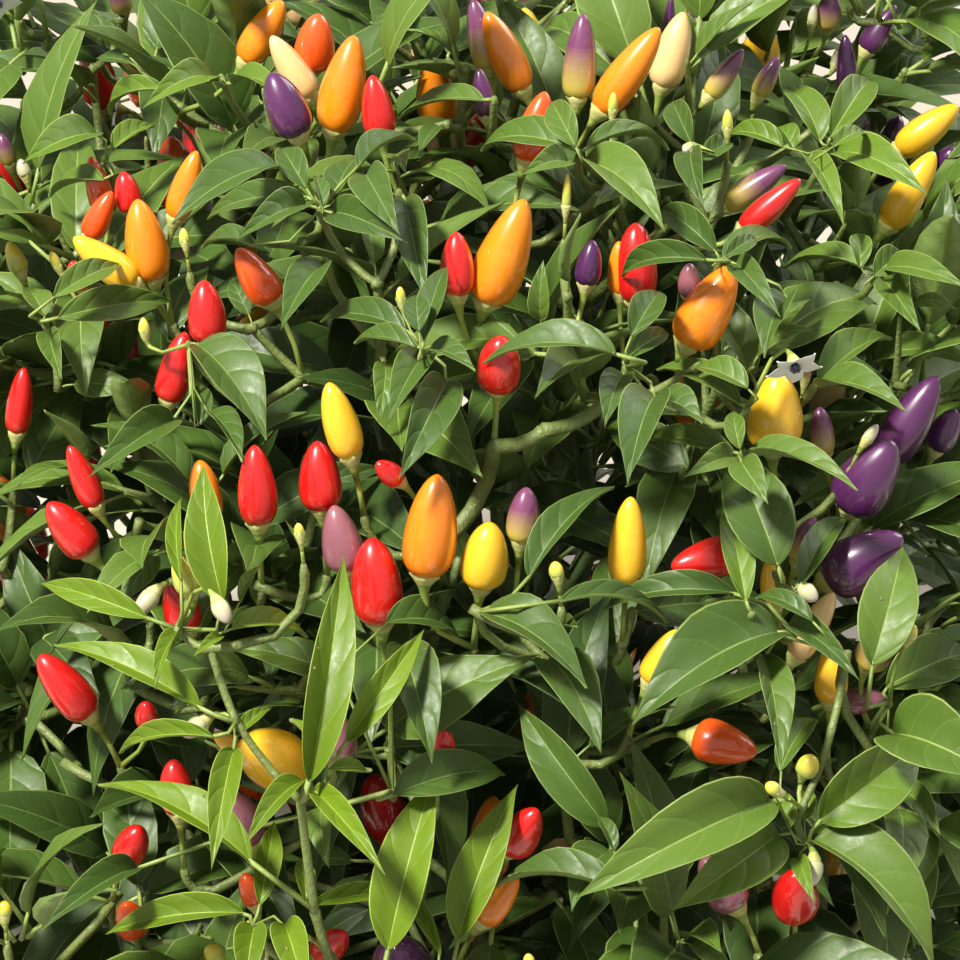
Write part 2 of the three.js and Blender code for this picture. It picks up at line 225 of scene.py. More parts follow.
def mottle_group():
    """Patches from a noise in the piece's own space, and finer grains from a second one."""
    tree = bpy.data.node_groups.new("mottle", "ShaderNodeTree")
    tree.interface.new_socket("Size", in_out="INPUT", socket_type="NodeSocketFloat")
    tree.interface.new_socket("Patches", in_out="OUTPUT", socket_type="NodeSocketFloat")
    tree.interface.new_socket("Grains", in_out="OUTPUT", socket_type="NodeSocketFloat")
    given, left = tree.nodes.new("NodeGroupInput"), tree.nodes.new("NodeGroupOutput")
    place = tree.nodes.new("ShaderNodeTexCoord")
    finer = tree.nodes.new("ShaderNodeMath")
    finer.operation = "MULTIPLY"
    finer.inputs[1].default_value = 9
    tree.links.new(given.outputs["Size"], finer.inputs[0])
    for output, scale in (("Patches", given.outputs["Size"]), ("Grains", finer.outputs[0])):
        noise = tree.nodes.new("ShaderNodeTexNoise")
        noise.inputs["Detail"].default_value = 3
        tree.links.new(place.outputs["Object"], noise.inputs["Vector"])
        tree.links.new(scale, noise.inputs["Scale"])
        spread = tree.nodes.new("ShaderNodeMapRange")
        spread.inputs["From Min"].default_value = 0.3
        spread.inputs["From Max"].default_value = 0.7
        tree.links.new(noise.outputs["Fac"], spread.inputs["Value"])
        tree.links.new(spread.outputs["Result"], left.inputs[output])
    return tree


mottle = mottle_group()


def add_mottle(tree, size):
    """The mottle group in a material."""
    node = tree.nodes.new("ShaderNodeGroup")
    node.node_tree = mottle
    node.inputs["Size"].default_value = size
    return node.outputs["Patches"], node.outputs["Grains"]


def blended(tree, share, low, high):
    """A mix of two colours, each one a plain colour or a socket."""
    mix = tree.nodes.new("ShaderNodeMix")
    mix.data_type = "RGBA"
    tree.links.new(share, mix.inputs["Factor"])
    for name, colour in (("A", low), ("B", high)):
        socket = next(s for s in mix.inputs if s.name == name and s.type == "RGBA")
        if isinstance(colour, tuple):
            socket.default_value = (*colour, 1)
        else:
            tree.links.new(colour, socket)
    return next(s for s in mix.outputs if s.type == "RGBA")


def ranged(tree, value, low, high, start=0.0, stop=1.0):
    """A value's range from start to stop carried over to the range from low to high."""
    node = tree.nodes.new("ShaderNodeMapRange")
    for name, number in (("From Min", start), ("From Max", stop), ("To Min", low), ("To Max", high)):
        node.inputs[name].default_value = number
    tree.links.new(value, node.inputs["Value"])
    return node.outputs["Result"]


def embossed(tree, shader, height, depth, strength):
    """A bump of a height socket on the shader's normal."""
    bump = tree.nodes.new("ShaderNodeBump")
    bump.inputs["Strength"].default_value = strength
    bump.inputs["Distance"].default_value = depth
    tree.links.new(height, bump.inputs["Height"])
    tree.links.new(bump.outputs["Normal"], shader.inputs["Normal"])


def tissue_material(name, dark, light, streak=None, roughness=0.5, size=150, depth=0.0002, strength=0.4):
    """Satin green tissue, or bark: two tones in patches, a streak along the fine grains if one is
    given, and a bump of the same grains."""
    made, tree, shader = new_material(name)
    patches, grains = add_mottle(tree, size)
    tone = blended(tree, patches, dark, light)
    if streak:
        tone = blended(tree, ranged(tree, grains, 0, 0.6), tone, streak)
    tree.links.new(tone, shader.inputs["Base Color"])
    tree.links.new(ranged(tree, grains, roughness - 0.1, roughness + 0.1), shader.inputs["Roughness"])
    embossed(tree, shader, grains, depth, strength)
    return made


def bark_material(name, dark, light, streak, roughness):
    """Bark: broader patches and a deeper bump than green tissue has, and a streak."""
    return tissue_material(name, dark, light, streak, roughness, size=90, depth=0.0004, strength=0.6)


old_bark = bark_material("old_bark", (0.13, 0.10, 0.06), (0.27, 0.23, 0.15), (0.36, 0.33, 0.24), 0.85)

stem_axis = axis_of(np.zeros(3), up, heading(stem_lean_azimuth, stem_lean), stem_height)
t = np.linspace(0, 1, stem_rings)[:, None]
around = turns(stem_sides)[None]
height = t * stem_height
flare = root_flare * np.exp(-height / root_flare_height)
lobes = flare * 0.22 * (np.cos(root_lobes * around + 0.7) - 1)
taper = stem_foot_radius + (stem_fork_radius - stem_foot_radius) * t
# The ribs wind a little as they rise, and corky bumps lie where two slanting waves cross.
ribs = bark_rib * np.sin(bark_ribs * around + 2.2 * np.sin(height * 60) + 0.8)
cork = bark_cork * np.sin(19 * around + 700 * height) * np.sin(7 * around - 430 * height + 1.3)
rounded = np.where(t > 0.94, np.sqrt(np.clip((1 - t) * 16, 0, 1)), 1)
stem_radius = (taper + flare + lobes + ribs + cork * (1 - t) * 1.4) * rounded
stem_skin = skins([stem_axis], t[:, 0], stem_radius[None], stem_sides)
main_stem_bark = make_piece("main_stem_bark", *stem_skin, [old_bark], "old_bark")
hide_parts("main_stem")

# The boughs and branches. Each fork of the green, faintly angular wood parts two limbs, down to
# one limb for each mass of foliage, and is a little swollen.
crown_masses = 16
fork_levels = 4
shell_radius = 0.116
shell_height = 0.124
shell_middle = 0.180
shell_span = 100
limb_radius = [0.0050, 0.0042, 0.0035, 0.0030, 0.0025]
limb_sag = 0.26
limb_sides = 20
limb_rings = 36
node_swell = 0.132
node_reach = 0.05  # the share of a limb over which the swelling at a fork dies away


def spread_way(i, count, drop, stray=0.0):
    """A direction out of the crown: even steps of height down from its top, by a drop in all, and
    a turn of the golden angle at each, and of a stray in degrees."""
    level = 1 - drop * (i + 0.5) / count
    across = math.sqrt(1 - level**2)
    turn = math.radians(i * golden_angle + stray)
    return np.array([across * math.cos(turn), across * math.sin(turn), level])


def crown_spots():
    """The spots under the masses, on a shell that is a little taller than wide."""
    drop = 1 - math.cos(math.radians(shell_span))
    ways = np.array([spread_way(i, crown_masses, drop) for i in range(crown_masses)])
    return ways * [shell_radius, shell_radius, shell_height] + [0, 0, shell_middle]


def fork_limbs(start, spots, level, path):
    """Halves the spots across their widest spread, sends a limb towards each half, and forks it
    again. A limb leaves its fork below its chord, by the sag, and rises to it."""
    widest = np.argmax(np.round(np.ptp(spots, axis=0), 9))
    order = spots[np.argsort(-spots[:, widest], kind="stable")]
    grown = []
    for side, half in enumerate(np.split(order, 2), 1):
        end = start + (half.mean(axis=0) - start) / (fork_levels - level)
        along = unit(end - start)
        first = unit(along - up * limb_sag)
        length = (end - start) @ (end - start) / ((end - start) @ first)
        axis = axis_of(start, first, along * 2 * (along @ first) - first, length)
        name = ("bough_" if level < 2 else "branch_") + "_".join(map(str, [*path, side]))
        grown.append({**axis, "name": name, "level": level, "bears_foliage": len(half) == 1})
        if len(half) > 1:
            grown += fork_limbs(axis["end"], half, level + 1, [*path, side])
    return grown


limbs = fork_limbs(stem_axis["end"], crown_spots(), 0, [])
green_bark = bark_material("green_bark", (0.05, 0.10, 0.025), (0.13, 0.22, 0.06), (0.14, 0.19, 0.08), 0.5)
share = np.linspace(-0.02, 1.02, limb_rings)
thick, thin = (np.array(limb_radius)[gathered(limbs, "level") + i][:, None, None] for i in (0, 1))
t = np.clip(share, 0, 1)[None, :, None]
swell = node_swell * (np.exp(-t / node_reach) + np.exp(-(1 - t) / node_reach))
around = turns(limb_sides)[None, None]
ridges = 0.05 * np.cos(5 * around + 1.5 * t) + 0.02 * np.sin(9 * around - 40 * t)
limb_skin_radius = (thick + (thin - thick) * t) * (1 + swell + ridges)
limb_skins, limb_ends = skins(limbs, share, limb_skin_radius, limb_sides)
for chosen in ("bough", "branch"):
    wanted = [limb["name"].startswith(chosen) for limb in limbs]
    bark = make_piece(f"{chosen}_bark", limb_skins[wanted], limb_ends[wanted], [green_bark], "green_bark")
    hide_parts(*[limb["name"] for limb in limbs if limb["name"].startswith(chosen)])

# The twigs, thin green wood. One stem enters each mass of foliage and goes on forking by the
# source's rule, one fork further than in the solids, and each twig keeps to its mass's own space.
twig_length = [0.027, 0.034, 0.031, 0.026, 0.021]
twig_radius = [0.0023, 0.0021, 0.0019, 0.0017, 0.0015, 0.0012]
twig_spread = [37, 35, 33, 31]
twig_lift = 0.2
twig_spread_stray = 0.2
twig_wander = 8
twig_stray = 0.12
seeds_per_mass = 1024
turn_seeds = 256  # the first seed of a mass for the turns of its side shoots
side_seeds = 512  # and for the shoots themselves
limb_seeds = 90000
mass_middle = 0.070
low_masses = 5
lowest_shoot = 0.038
highest_shoot = 0.074
low_shoot_tilt = 70
low_shoot_azimuth = 40
wall_gap = 0.0008
side_length = 0.019
side_at = 0.55
side_slant = 0.45
side_lift = 0.3
side_places = [0.22, 0.42, 0.62, 0.82]  # along the limbs that bear no more forks, and their parents
last_level = 4


def turned(vector, axis, degrees):
    """A vector turned about a unit axis: its own share by the cosine, the cross product by the
    sine, and the part along the axis kept."""
    angle = math.radians(degrees)
    kept = axis * (axis @ vector) * (1 - math.cos(angle))
    return vector * math.cos(angle) + np.cross(axis, vector) * math.sin(angle) + kept


def square_to(direction, degrees):
    """A unit vector square to a direction, turned about it from the level one."""
    base = up if abs(direction[2]) < 0.98 else rightward
    return turned(unit(np.cross(base, direction)), direction, degrees)


def seeded_random(seed):
    """Even draws from 0 to 1. Each state is the last one times 16807, modulo a prime."""
    modulus = 2147483647
    state = (seed * 7919 + 104729) % modulus

    def draw():
        """The next draw."""
        nonlocal state
        state = state * 16807 % modulus
        return state / modulus

    for _ in range(4):
        draw()
    return draw


def either(draw):
    """An even draw from -1 to 1."""
    return 2 * draw() - 1


def shoots():
    """The stem of every mass: one at the end of each last limb, and five on the main stem."""
    grown = []
    for limb in limbs:
        if limb["bears_foliage"]:
            grown.append({"name": f"foliage_{len(grown) + 1}", "start": limb["end"], "heading": limb["last"]})
    for i in range(low_masses):
        t = (lowest_shoot + (highest_shoot - lowest_shoot) * i / (low_masses - 1)) / stem_height
        start = places_on([stem_axis], [t])[0][0, 0]
        outwards = heading(low_shoot_azimuth + i * golden_angle, low_shoot_tilt)
        grown.append({"name": f"low_foliage_{i + 1}", "start": start, "heading": outwards})
    for seed, mass in enumerate(grown, 1):
        mass.update(seed=seed, centre=mass["start"] + mass["heading"] * mass_middle)
    return grown


masses = shoots()
centres = gathered(masses, "centre")


def in_own_space(points, mass, trespass=0.0):
    """Whether all points lie on the mass's side of the walls half way to the other masses."""
    across = np.delete(centres, mass["seed"] - 1, axis=0) - mass["centre"]
    far = np.linalg.norm(across, axis=1)
    inside = (points - mass["centre"]) @ (across / far[:, None]).T < far / 2 - wall_gap + trespass
    return bool(np.all(inside))


def side_shoot(axis, share, turn, length, mass, seed):
    """A short leafy shoot from the side of an axis. It leaves at a slant and bends upwards."""
    start, ahead = (found[0, 0] for found in places_on([axis], [share]))
    out = unit(square_to(ahead, turn) + ahead * side_slant + up * side_lift)
    bent = axis_of(start, out, unit(out + up * 2 * side_lift), length)
    flat = unit(np.cross(bent["last"], ahead) + up * 0.01)
    return {**bent, "flat": flat, "level": last_level, "draw": seeded_random(seed), "is_tip": True,
            "mass": mass, "side": True}


def grow_twigs(mass):
    """The twigs of a mass, each before those that fork from it, as the solids' source draws
    them. A twig that would leave the mass's space is skipped, with all that it would bear."""
    grown = []

    def grow(start, first, across, level, mark):
        """One twig, and then those that fork from it."""
        seed = mass["seed"] * seeds_per_mass + mark
        draw = seeded_random(seed)
        wander = square_to(first, 360 * draw())
        first = unit(first + wander * math.tan(math.radians(twig_wander)) * draw())
        last = unit(first + up * twig_lift)
        length = twig_length[level] * (1 + twig_stray * either(draw))
        spread_stray = 1 + twig_spread_stray * either(draw)
        axis = axis_of(start, first, last, length)
        if level > 0 and not in_own_space(places_on([axis], [0.5, 1])[0][0], mass):
            return
        flat = unit(across - last * (across @ last))
        is_tip = level + 1 == len(twig_length)
        grown.append({**axis, "flat": flat, "level": level, "draw": draw, "is_tip": is_tip, "mass": mass})
        if is_tip:
            return
        turn = 360 * seeded_random(seed + turn_seeds)()
        grown.append(side_shoot(axis, side_at, turn, side_length, mass, seed + side_seeds))
        spread = math.radians(twig_spread[level] * spread_stray)
        for i, side in enumerate((1, -1)):
            onward = last * math.cos(spread) + flat * side * math.sin(spread)
            grow(axis["end"], onward, unit(np.cross(onward, flat)), level + 1, 2 * mark + i)

    grow(mass["start"], mass["heading"], square_to(mass["heading"], mass["seed"] * golden_angle), 0, 1)
    return grown


twigs = [twig for mass in masses for twig in grow_twigs(mass)]
for number, limb in enumerate(limb for limb in limbs if limb["level"] > 1):
    mass = masses[int(np.argmin(np.linalg.norm(centres - limb["end"], axis=1)))]
    for i, share in enumerate(side_places):
        turn = (number * 4 + i) * golden_angle
        seed = limb_seeds + number * 8 + i
        twigs.append(side_shoot(limb, share, turn, side_length * 1.3, mass, seed))

# The shoots that the photograph shows nearest to the eye, each a green stem with a rosette of
# leaves at its joints. Each has a tone, its metres before the dome on which they stand, the pixels
# of its joints, and its leaves: the pixels of foot and tip, the width, and at times a tone of their
# own. A stem that isn't of the usual thickness gives its radius last.
crown_middle = np.array([0.0, 0.0, 0.180])
crown_reach = np.array([0.225, 0.225, 0.245])  # of the dome
# The tones dark, mid and bright are partly the leaves' own green and partly painted shade and light: a shoot
# that lies in shade has a darker tone, and a lit one a brighter tone.
shoots_in_picture = [
    ("young", 0.034, [(349, 985), (320, 893), (307, 789), (245, 713), (220, 642), (190, 624)], [
        (147, 618, 29, 586, 31), (181, 581, 173, 498, 21), (223, 602, 200, 462, 46),
        (240, 602, 256, 567, 15), (232, 628, 305, 641, 32), (181, 630, 161, 685, 21),
        (222, 636, 196, 655, 14), (200, 708, 46, 647, 40), (214, 737, 107, 762, 29),
        (234, 749, 219, 860, 34), (236, 737, 269, 711, 15), (309, 782, 341, 555, 56),
        (303, 781, 251, 837, 27), (314, 791, 389, 863, 34), (251, 862, 90, 789, 48),
        (309, 905, 404, 909, 26), (306, 900, 297, 863, 22),
    ], 0.0017),
    ("young", 0.034, [(336, 755)], [
        (346, 742, 424, 631, 35), (321, 758, 286, 722, 19), (329, 769, 366, 774, 18),
    ]),
    ("young", 0.03, [(260, 912)], [
        (260, 905, 269, 829, 27), (244, 913, 99, 941, 38), (255, 925, 250, 985, 33),
        (285, 925, 312, 988, 42),
    ]),
    ("young", 0.024, [(388, 968)], [(388, 950, 437, 771, 60), (441, 955, 395, 884, 22)]),
    ("young", 0.022, [(455, 968)], [(458, 940, 519, 788, 50)]),
    ("dark", -0.006, [(494, 446), (545, 430), (604, 404)], [], 0.0024),
    ("mid", 0.024, [(838, 650), (822, 725), (793, 800), (800, 836)], [
        (780, 771, 826, 725, 30), (769, 801, 573, 890, 78), (763, 655, 772, 763, 40),
        (812, 841, 928, 962, 76), (778, 834, 667, 904, 52, "bright"),
        (820, 820, 930, 745, 68, "bright"), (804, 820, 803, 788, 20, "young"),
        (789, 829, 771, 793, 24, "young"), (798, 858, 810, 898, 18, "bright"),
        (812, 832, 834, 838, 14, "young"),
    ], 0.0014),
    ("dark", 0.012, [(790, 632)], [
        (780, 632, 628, 722, 76), (788, 627, 850, 676, 32), (812, 620, 760, 600, 22),
        (734, 593, 604, 612, 36),
    ]),
    ("bright", 0.014, [(748, 612)], [(746, 602, 732, 508, 34)]),
    ("dark", 0.006, [(778, 580)], [(778, 566, 737, 455, 62), (800, 587, 858, 520, 32)]),
    ("dark", 0.006, [(478, 612)], [
        (482, 614, 586, 684, 56), (529, 578, 618, 486, 38), (560, 601, 674, 627, 26),
    ]),
    ("dark", 0.004, [(612, 848)], [
        (606, 826, 517, 705, 52), (611, 852, 569, 902, 44), (617, 890, 495, 896, 44),
        (614, 850, 598, 820, 16),
    ]),
    ("mid", 0.01, [(885, 700)], [
        (886, 687, 985, 660, 50), (893, 734, 990, 775, 76), (872, 665, 912, 547, 54),
        (902, 789, 933, 829, 30),
    ]),
    ("dark", 0.004, [(392, 790)], [
        (394, 795, 507, 783, 48), (402, 645, 434, 757, 54), (386, 622, 458, 640, 40),
        (138, 868, 55, 916, 36),
    ]),
    ("dark", 0.014, [(323, 213)], [
        (308, 197, 199, 213, 30), (306, 206, 242, 247, 36), (306, 188, 278, 142, 30),
        (335, 200, 360, 150, 30), (358, 166, 415, 131, 30), (332, 213, 410, 250, 33),
        (323, 206, 311, 172, 16), (366, 175, 402, 242, 38), (254, 245, 195, 243, 26),
        (278, 166, 178, 230, 46),
    ]),
    ("dark", 0.01, [(400, 196)], [(405, 199, 428, 307, 42)]),
    ("dark", 0.008, [(422, 347)], [
        (406, 330, 314, 317, 34), (416, 347, 350, 340, 27), (427, 353, 390, 425, 36),
        (428, 350, 476, 372, 28), (424, 340, 447, 260, 28), (419, 331, 416, 292, 26),
        (447, 382, 401, 480, 48),
    ]),
    ("dark", 0.004, [(190, 345)], [
        (197, 345, 272, 442, 58), (174, 420, 101, 477, 40), (208, 413, 248, 462, 30),
        (199, 426, 194, 380, 22),
    ]),
    ("mid", 0.01, [(48, 323)], [
        (58, 318, 167, 297, 37), (50, 332, 70, 382, 27), (54, 297, 115, 259, 30),
        (45, 316, 18, 284, 26),
    ]),
    ("dark", 0.004, [(326, 262)], [(325, 264, 286, 334, 38)]),
    ("mid", 0.006, [(494, 102)], [(484, 100, 394, 108, 28)]),
    ("bright", 0.004, [(108, 165)], [
        (104, 180, 38, 190, 28), (98, 134, 34, 171, 38), (112, 150, 150, 119, 26),
    ]),
    ("bright", 0.002, [(222, 78)], [
        (214, 80, 150, 119, 30), (165, 89, 101, 107, 26), (232, 84, 290, 110, 26),
    ]),
    ("dark", 0.012, [(717, 263)], [
        (706, 260, 625, 272, 33), (716, 252, 664, 204, 33), (724, 260, 801, 242, 30),
        (736, 264, 774, 321, 29), (726, 256, 760, 236, 18), (789, 300, 757, 361, 44),
    ]),
    ("bright", 0.012, [(826, 150)], [
        (820, 142, 786, 80, 35), (830, 138, 881, 70, 40), (836, 154, 916, 204, 40),
        (809, 160, 835, 233, 28), (833, 147, 872, 130, 18), (794, 150, 779, 124, 26),
        (783, 147, 731, 130, 26),
    ]),
    ("mid", 0.01, [(578, 158)], [
        (572, 148, 480, 141, 36), (583, 163, 661, 239, 50), (568, 163, 520, 181, 26),
        (586, 148, 676, 140, 24), (575, 146, 553, 95, 30),
    ]),
    ("dark", 0.008, [(691, 148)], [
        (691, 143, 676, 95, 30), (691, 152, 699, 214, 29), (700, 162, 734, 138, 26),
    ]),
    ("dark", 0.01, [(625, 368)], [
        (616, 354, 482, 361, 42), (622, 361, 673, 331, 26), (631, 336, 664, 288, 34),
        (624, 374, 602, 429, 30), (655, 396, 622, 485, 50), (662, 400, 700, 424, 34),
    ]),
    ("mid", 0.01, [(745, 408)], [(741, 405, 661, 366, 31), (748, 388, 695, 367, 30)]),
    ("mid", 0.008, [(812, 385)], [(818, 383, 905, 334, 40), (818, 386, 895, 413, 35)]),
    ("mid", 0.012, [(740, 455)], [
        (735, 453, 645, 441, 31), (734, 457, 679, 478, 26), (746, 456, 848, 490, 36),
        (740, 449, 737, 410, 22), (741, 462, 764, 504, 30),
    ]),
    ("mid", 0.006, [(876, 274)], [
        (881, 277, 912, 337, 29), (874, 276, 908, 250, 30), (866, 268, 789, 262, 28),
        (886, 268, 957, 294, 28), (860, 268, 861, 230, 25),
    ]),
]
shown_leaf_length = 0.040
shown_leaf_slope = -0.15
shown_stem = 0.0013  # the radius of a shown shoot's stem at its foot
shown_thinning = 0.00016  # and its loss from joint to joint


def axis_between(start, end, last):
    """An axis from one point to another that arrives in a given direction: its length is the
    chord squared over the chord's share of that direction, at most 1.5 times the chord."""
    chord = end - start
    straight = np.linalg.norm(chord)
    facing = max(chord @ last / straight, 2 / 3)
    length = straight / facing
    return axis_of(start, 2 * chord / length - last, last, length)


def on_dome(column, row):
    """Where a line of sight enters the dome of the crown, or passes nearest to it: the root of
    a quadratic in units of the dome's reach."""
    sight = unit(behind_pixel(column, row, 1.0) - eye)
    a, b = sight / crown_reach, (eye - crown_middle) / crown_reach
    half, inside = a @ b, b @ b - 1
    root = max(half * half - a @ a * inside, 0)
    return eye + sight * (-half - math.sqrt(root)) / (a @ a)


def nearest_twig(point):
    """The twig whose end lies nearest to a point, where one above it counts as further. It is
    marked as bearing something."""
    ends = gathered(twigs, "end")
    above = np.clip(ends[:, 2] - point[2], 0, None)
    nearest = twigs[int(np.argmin(np.linalg.norm(ends - point, axis=1) + 0.8 * above))]
    nearest["bears"] = True
    return nearest


def grow_shown_shoot(tone, near, joints, places, thick=shown_stem):
    """A twig to each joint of a shoot in turn, from the twig that lies nearest to the first. Its
    stem thins from joint to joint, and each joint has the leaves whose feet lie nearest to it."""
    parent = None
    for number, (column, row) in enumerate(joints):
        point = on_dome(column, row) - away * near
        outward = unit((point - crown_middle) * [1, 1, 0.4])
        last = unit(up + outward * 0.5) if parent is None else unit(point - parent["end"] + up * 0.01)
        parent = parent or nearest_twig(point - last * 0.02)
        axis = axis_between(parent["end"], point, last)
        own = [place for place in places
               if np.argmin([math.dist(joint, place[:2]) for joint in joints]) == number]
        parent = {**axis, "level": last_level, "is_tip": False, "side": True, "bears": True,
                  "thick": max(thick - shown_thinning * number, twig_radius[-1]), "mass": parent["mass"],
                  "bare": number > 0 and len(joints) > 2, "tone": tone, "shown_leaves": own}
        twigs.append(parent)


for shoot in shoots_in_picture:
    grow_shown_shoot(*shoot)

# The twigs that fill the crown. Where the rule leaves a hollow, one more leafy twig of the same
# green wood grows into it. The places that are tried lie at two depths all over the crown.
hollow_places = 420
hollow_drop = 1.62
hollow_reach = 0.022
hollow_depths = [0.93, 0.80]


def shoot_to(point, last):
    """A new twig from the nearest one to a point."""
    parent = nearest_twig(point)
    grown = {**axis_between(parent["end"], point, last), "flat": unit(np.cross(last, rightward)),
             "level": last_level, "is_tip": False, "mass": parent["mass"], "side": True,
             "draw": seeded_random(600 + len(twigs))}
    twigs.append(grown)
    return grown


for i in range(hollow_places):
    way = spread_way(i, hollow_places, hollow_drop)
    point = crown_middle + way * crown_reach * hollow_depths[i % 2]
    if np.linalg.norm(gathered(twigs, "end") - point, axis=1).min() > hollow_reach:
        shoot_to(point, unit(way + up * 0.8))

# The same closes the places where the eye would see past the crown: columns, rows and metres
# behind the dome.
thin_places = [
    (14, 62, 0.0), (48, 34, 0.0), (92, 70, 0.0), (130, 96, 0.01), (60, 100, 0.0), (120, 20, 0.0),
    (20, 20, 0.0), (880, 22, 0.0), (930, 40, 0.0), (948, 14, 0.0), (905, 70, 0.0), (120, 545, 0.03),
    (140, 628, 0.03), (118, 690, 0.03), (370, 100, 0.01), (850, 8, 0.0),
]
for column, row, behind in thin_places:
    shoot_to(on_dome(column, row) + away * behind, unit(up * 0.8 - away * 0.3))

# The fruit that the photograph shows. Each stands on the twig that lies nearest below its place,
# and is given by the pixels of its cup and of its tip, and by its width. It ripens from purple to
# red: "turning" fruit is still yellow-green at its foot, and "green" fruit has just set.
fruit_in_picture = {
    "purple": [
        (298, 135, 271, 73, 42), (890, 459, 936, 376, 46), (852, 507, 890, 441, 60),
        (829, 581, 902, 535, 58), (404, 990, 398, 936, 62), (487, 112, 478, 68, 22),
        (587, 282, 593, 239, 27), (938, 448, 955, 408, 32), (667, 50, 671, -4, 14),
        (867, 50, 895, 6, 27), (852, 92, 843, 35, 21),
    ],
    "turning": [
        (489, 64, 472, 0, 30), (579, 92, 583, 15, 34), (710, 95, 743, 50, 23), (760, 93, 778, 57, 21),
        (521, 541, 527, 485, 34), (804, 560, 814, 516, 33), (829, 453, 818, 405, 25),
        (729, 202, 786, 167, 28), (869, 664, 887, 622, 38), (827, 26, 829, -6, 27),
        (123, 9, 118, -14, 24), (8, 163, 1, 133, 18), (806, 378, 808, 358, 12),
    ],
    "mauve": [
        (346, 570, 334, 503, 42), (340, 758, 324, 700, 42), (245, 847, 236, 789, 41),
        (850, 706, 886, 697, 28), (691, 294, 688, 262, 24), (737, 908, 700, 853, 42),
    ],
    "cream": [
        (308, 92, 271, 37, 33), (665, 81, 684, 13, 37), (797, 657, 833, 590, 30),
    ],
    "yellow": [
        (132, 282, 73, 239, 36), (350, 456, 328, 381, 37), (904, 147, 957, 107, 34),
        (892, 223, 933, 153, 36), (777, 447, 775, 372, 57), (290, 772, 250, 738, 62),
        (481, 586, 491, 520, 48), (628, 583, 630, 494, 39), (651, 682, 679, 627, 34),
        (833, 702, 832, 635, 34), (235, 748, 212, 732, 20), (776, 602, 768, 556, 28),
    ],
    "orange": [
        (242, 55, 285, 2, 35), (332, 126, 357, 37, 46), (148, 277, 139, 199, 43),
        (174, 217, 200, 151, 29), (425, 575, 439, 472, 54), (486, 300, 527, 200, 54),
        (523, 84, 484, 14, 36), (602, 106, 661, 31, 38), (688, 343, 733, 266, 52),
        (483, 924, 520, 872, 33), (206, 520, 200, 458, 32), (622, 290, 618, 240, 24),
    ],
    "scarlet": [
        (100, 211, 92, 156, 26), (89, 236, 115, 191, 27), (269, 298, 237, 248, 38),
        (526, 159, 546, 92, 36), (699, 740, 757, 752, 45), (129, 938, 129, 898, 33),
        (311, 66, 321, 17, 41), (252, 908, 244, 870, 22),
    ],
    "red": [
        (380, 132, 372, 75, 34), (128, 208, 124, 171, 28), (164, 399, 188, 331, 34),
        (12, 432, 27, 366, 27), (257, 524, 256, 443, 40), (320, 509, 318, 439, 44),
        (458, 294, 456, 231, 36), (743, 230, 801, 181, 28), (639, 298, 635, 222, 42),
        (498, 387, 501, 338, 44), (83, 553, 49, 501, 41), (380, 624, 372, 535, 52),
        (184, 630, 171, 575, 38), (177, 814, 174, 756, 34), (119, 866, 144, 823, 35),
        (318, 960, 349, 930, 34), (511, 852, 538, 805, 42), (797, 914, 790, 866, 48),
        (208, 341, 205, 279, 39), (92, 506, 70, 444, 28), (86, 716, 40, 653, 41),
        (441, 762, 446, 728, 28), (144, 727, 148, 700, 24), (398, 480, 376, 462, 24),
        (82, 286, 74, 262, 24), (738, 553, 668, 568, 42),
    ],
    "green": [
        (23, 272, 17, 245, 20), (201, 587, 190, 549, 26), (224, 947, 218, 925, 20),
        (22, 898, 23, 882, 14), (798, 765, 801, 745, 23), (766, 780, 754, 772, 14),
        (556, 574, 553, 558, 15), (528, 950, 526, 936, 12), (306, 532, 306, 519, 10),
        (149, 334, 148, 318, 12), (724, 133, 723, 114, 11), (188, 244, 187, 230, 11),
        (565, 210, 566, 178, 9), (898, 634, 901, 618, 14), (248, 930, 248, 914, 12),
        (257, 912, 257, 902, 9), (612, 112, 611, 98, 10), (60, 268, 58, 254, 10),
        (838, 132, 836, 120, 10), (402, 302, 401, 288, 10),
    ],
    "bud": [
        (163, 590, 149, 613, 19), (214, 712, 195, 726, 19), (334, 748, 331, 726, 19),
        (230, 598, 241, 618, 18), (302, 918, 280, 912, 19), (803, 850, 799, 874, 21),
        (800, 588, 813, 600, 18), (862, 440, 872, 424, 12), (27, 176, 26, 162, 14),
        (832, 68, 833, 54, 10), (810, 26, 808, 12, 10), (686, 150, 680, 160, 10),
    ],
}
small_fruit = ("green", "bud")
bud_length = 0.0062
bud_radius = 0.0025
fruit_slimness = 1.5  # the least length of a fruit as a share of its width
fruit_length = 0.027
fruit_radius = 0.0071
fruit_stray = 0.14
fruit_stalk = 0.021
fruit_foot_at = 0.006  # metres back along its twig
fruit_at_fork = 0.75
fruit_at_tip = 0.25
fruit_lean = 0.5
foot_reach = 0.0174  # metres from the end of a twig to the foot of a stalk, past which one more grows
bud_from = 0.86
outer_places = 330
outer_drop = 1.35
outer_apart = 0.019


def fruit_on(foot, colour, base, way, length, radius, bend, shown):
    """One fruit, on a stalk from its foot on a twig."""
    return {"colour": colour, "stalk": axis_between(foot, base, way), "base": base, "way": way,
            "length": length, "radius": radius, "bend": bend, "shown": shown}


def twig_under(foot, way):
    """The twig that carries a stalk: the nearest one, or a new one where that is out of reach."""
    twig = nearest_twig(foot)
    if np.linalg.norm(twig["end"] - foot) > foot_reach:
        twig = shoot_to(foot, unit(way + up))
    return twig


def nearness(column, row):
    """How far before the dome a bud stands: a little before the shown joint that lies nearest."""
    found = [(math.dist((column, row), joint), near) for tone, near, joints, *rest in shoots_in_picture
             for joint in joints]
    return max(0.014, min(found)[1] + 0.008)


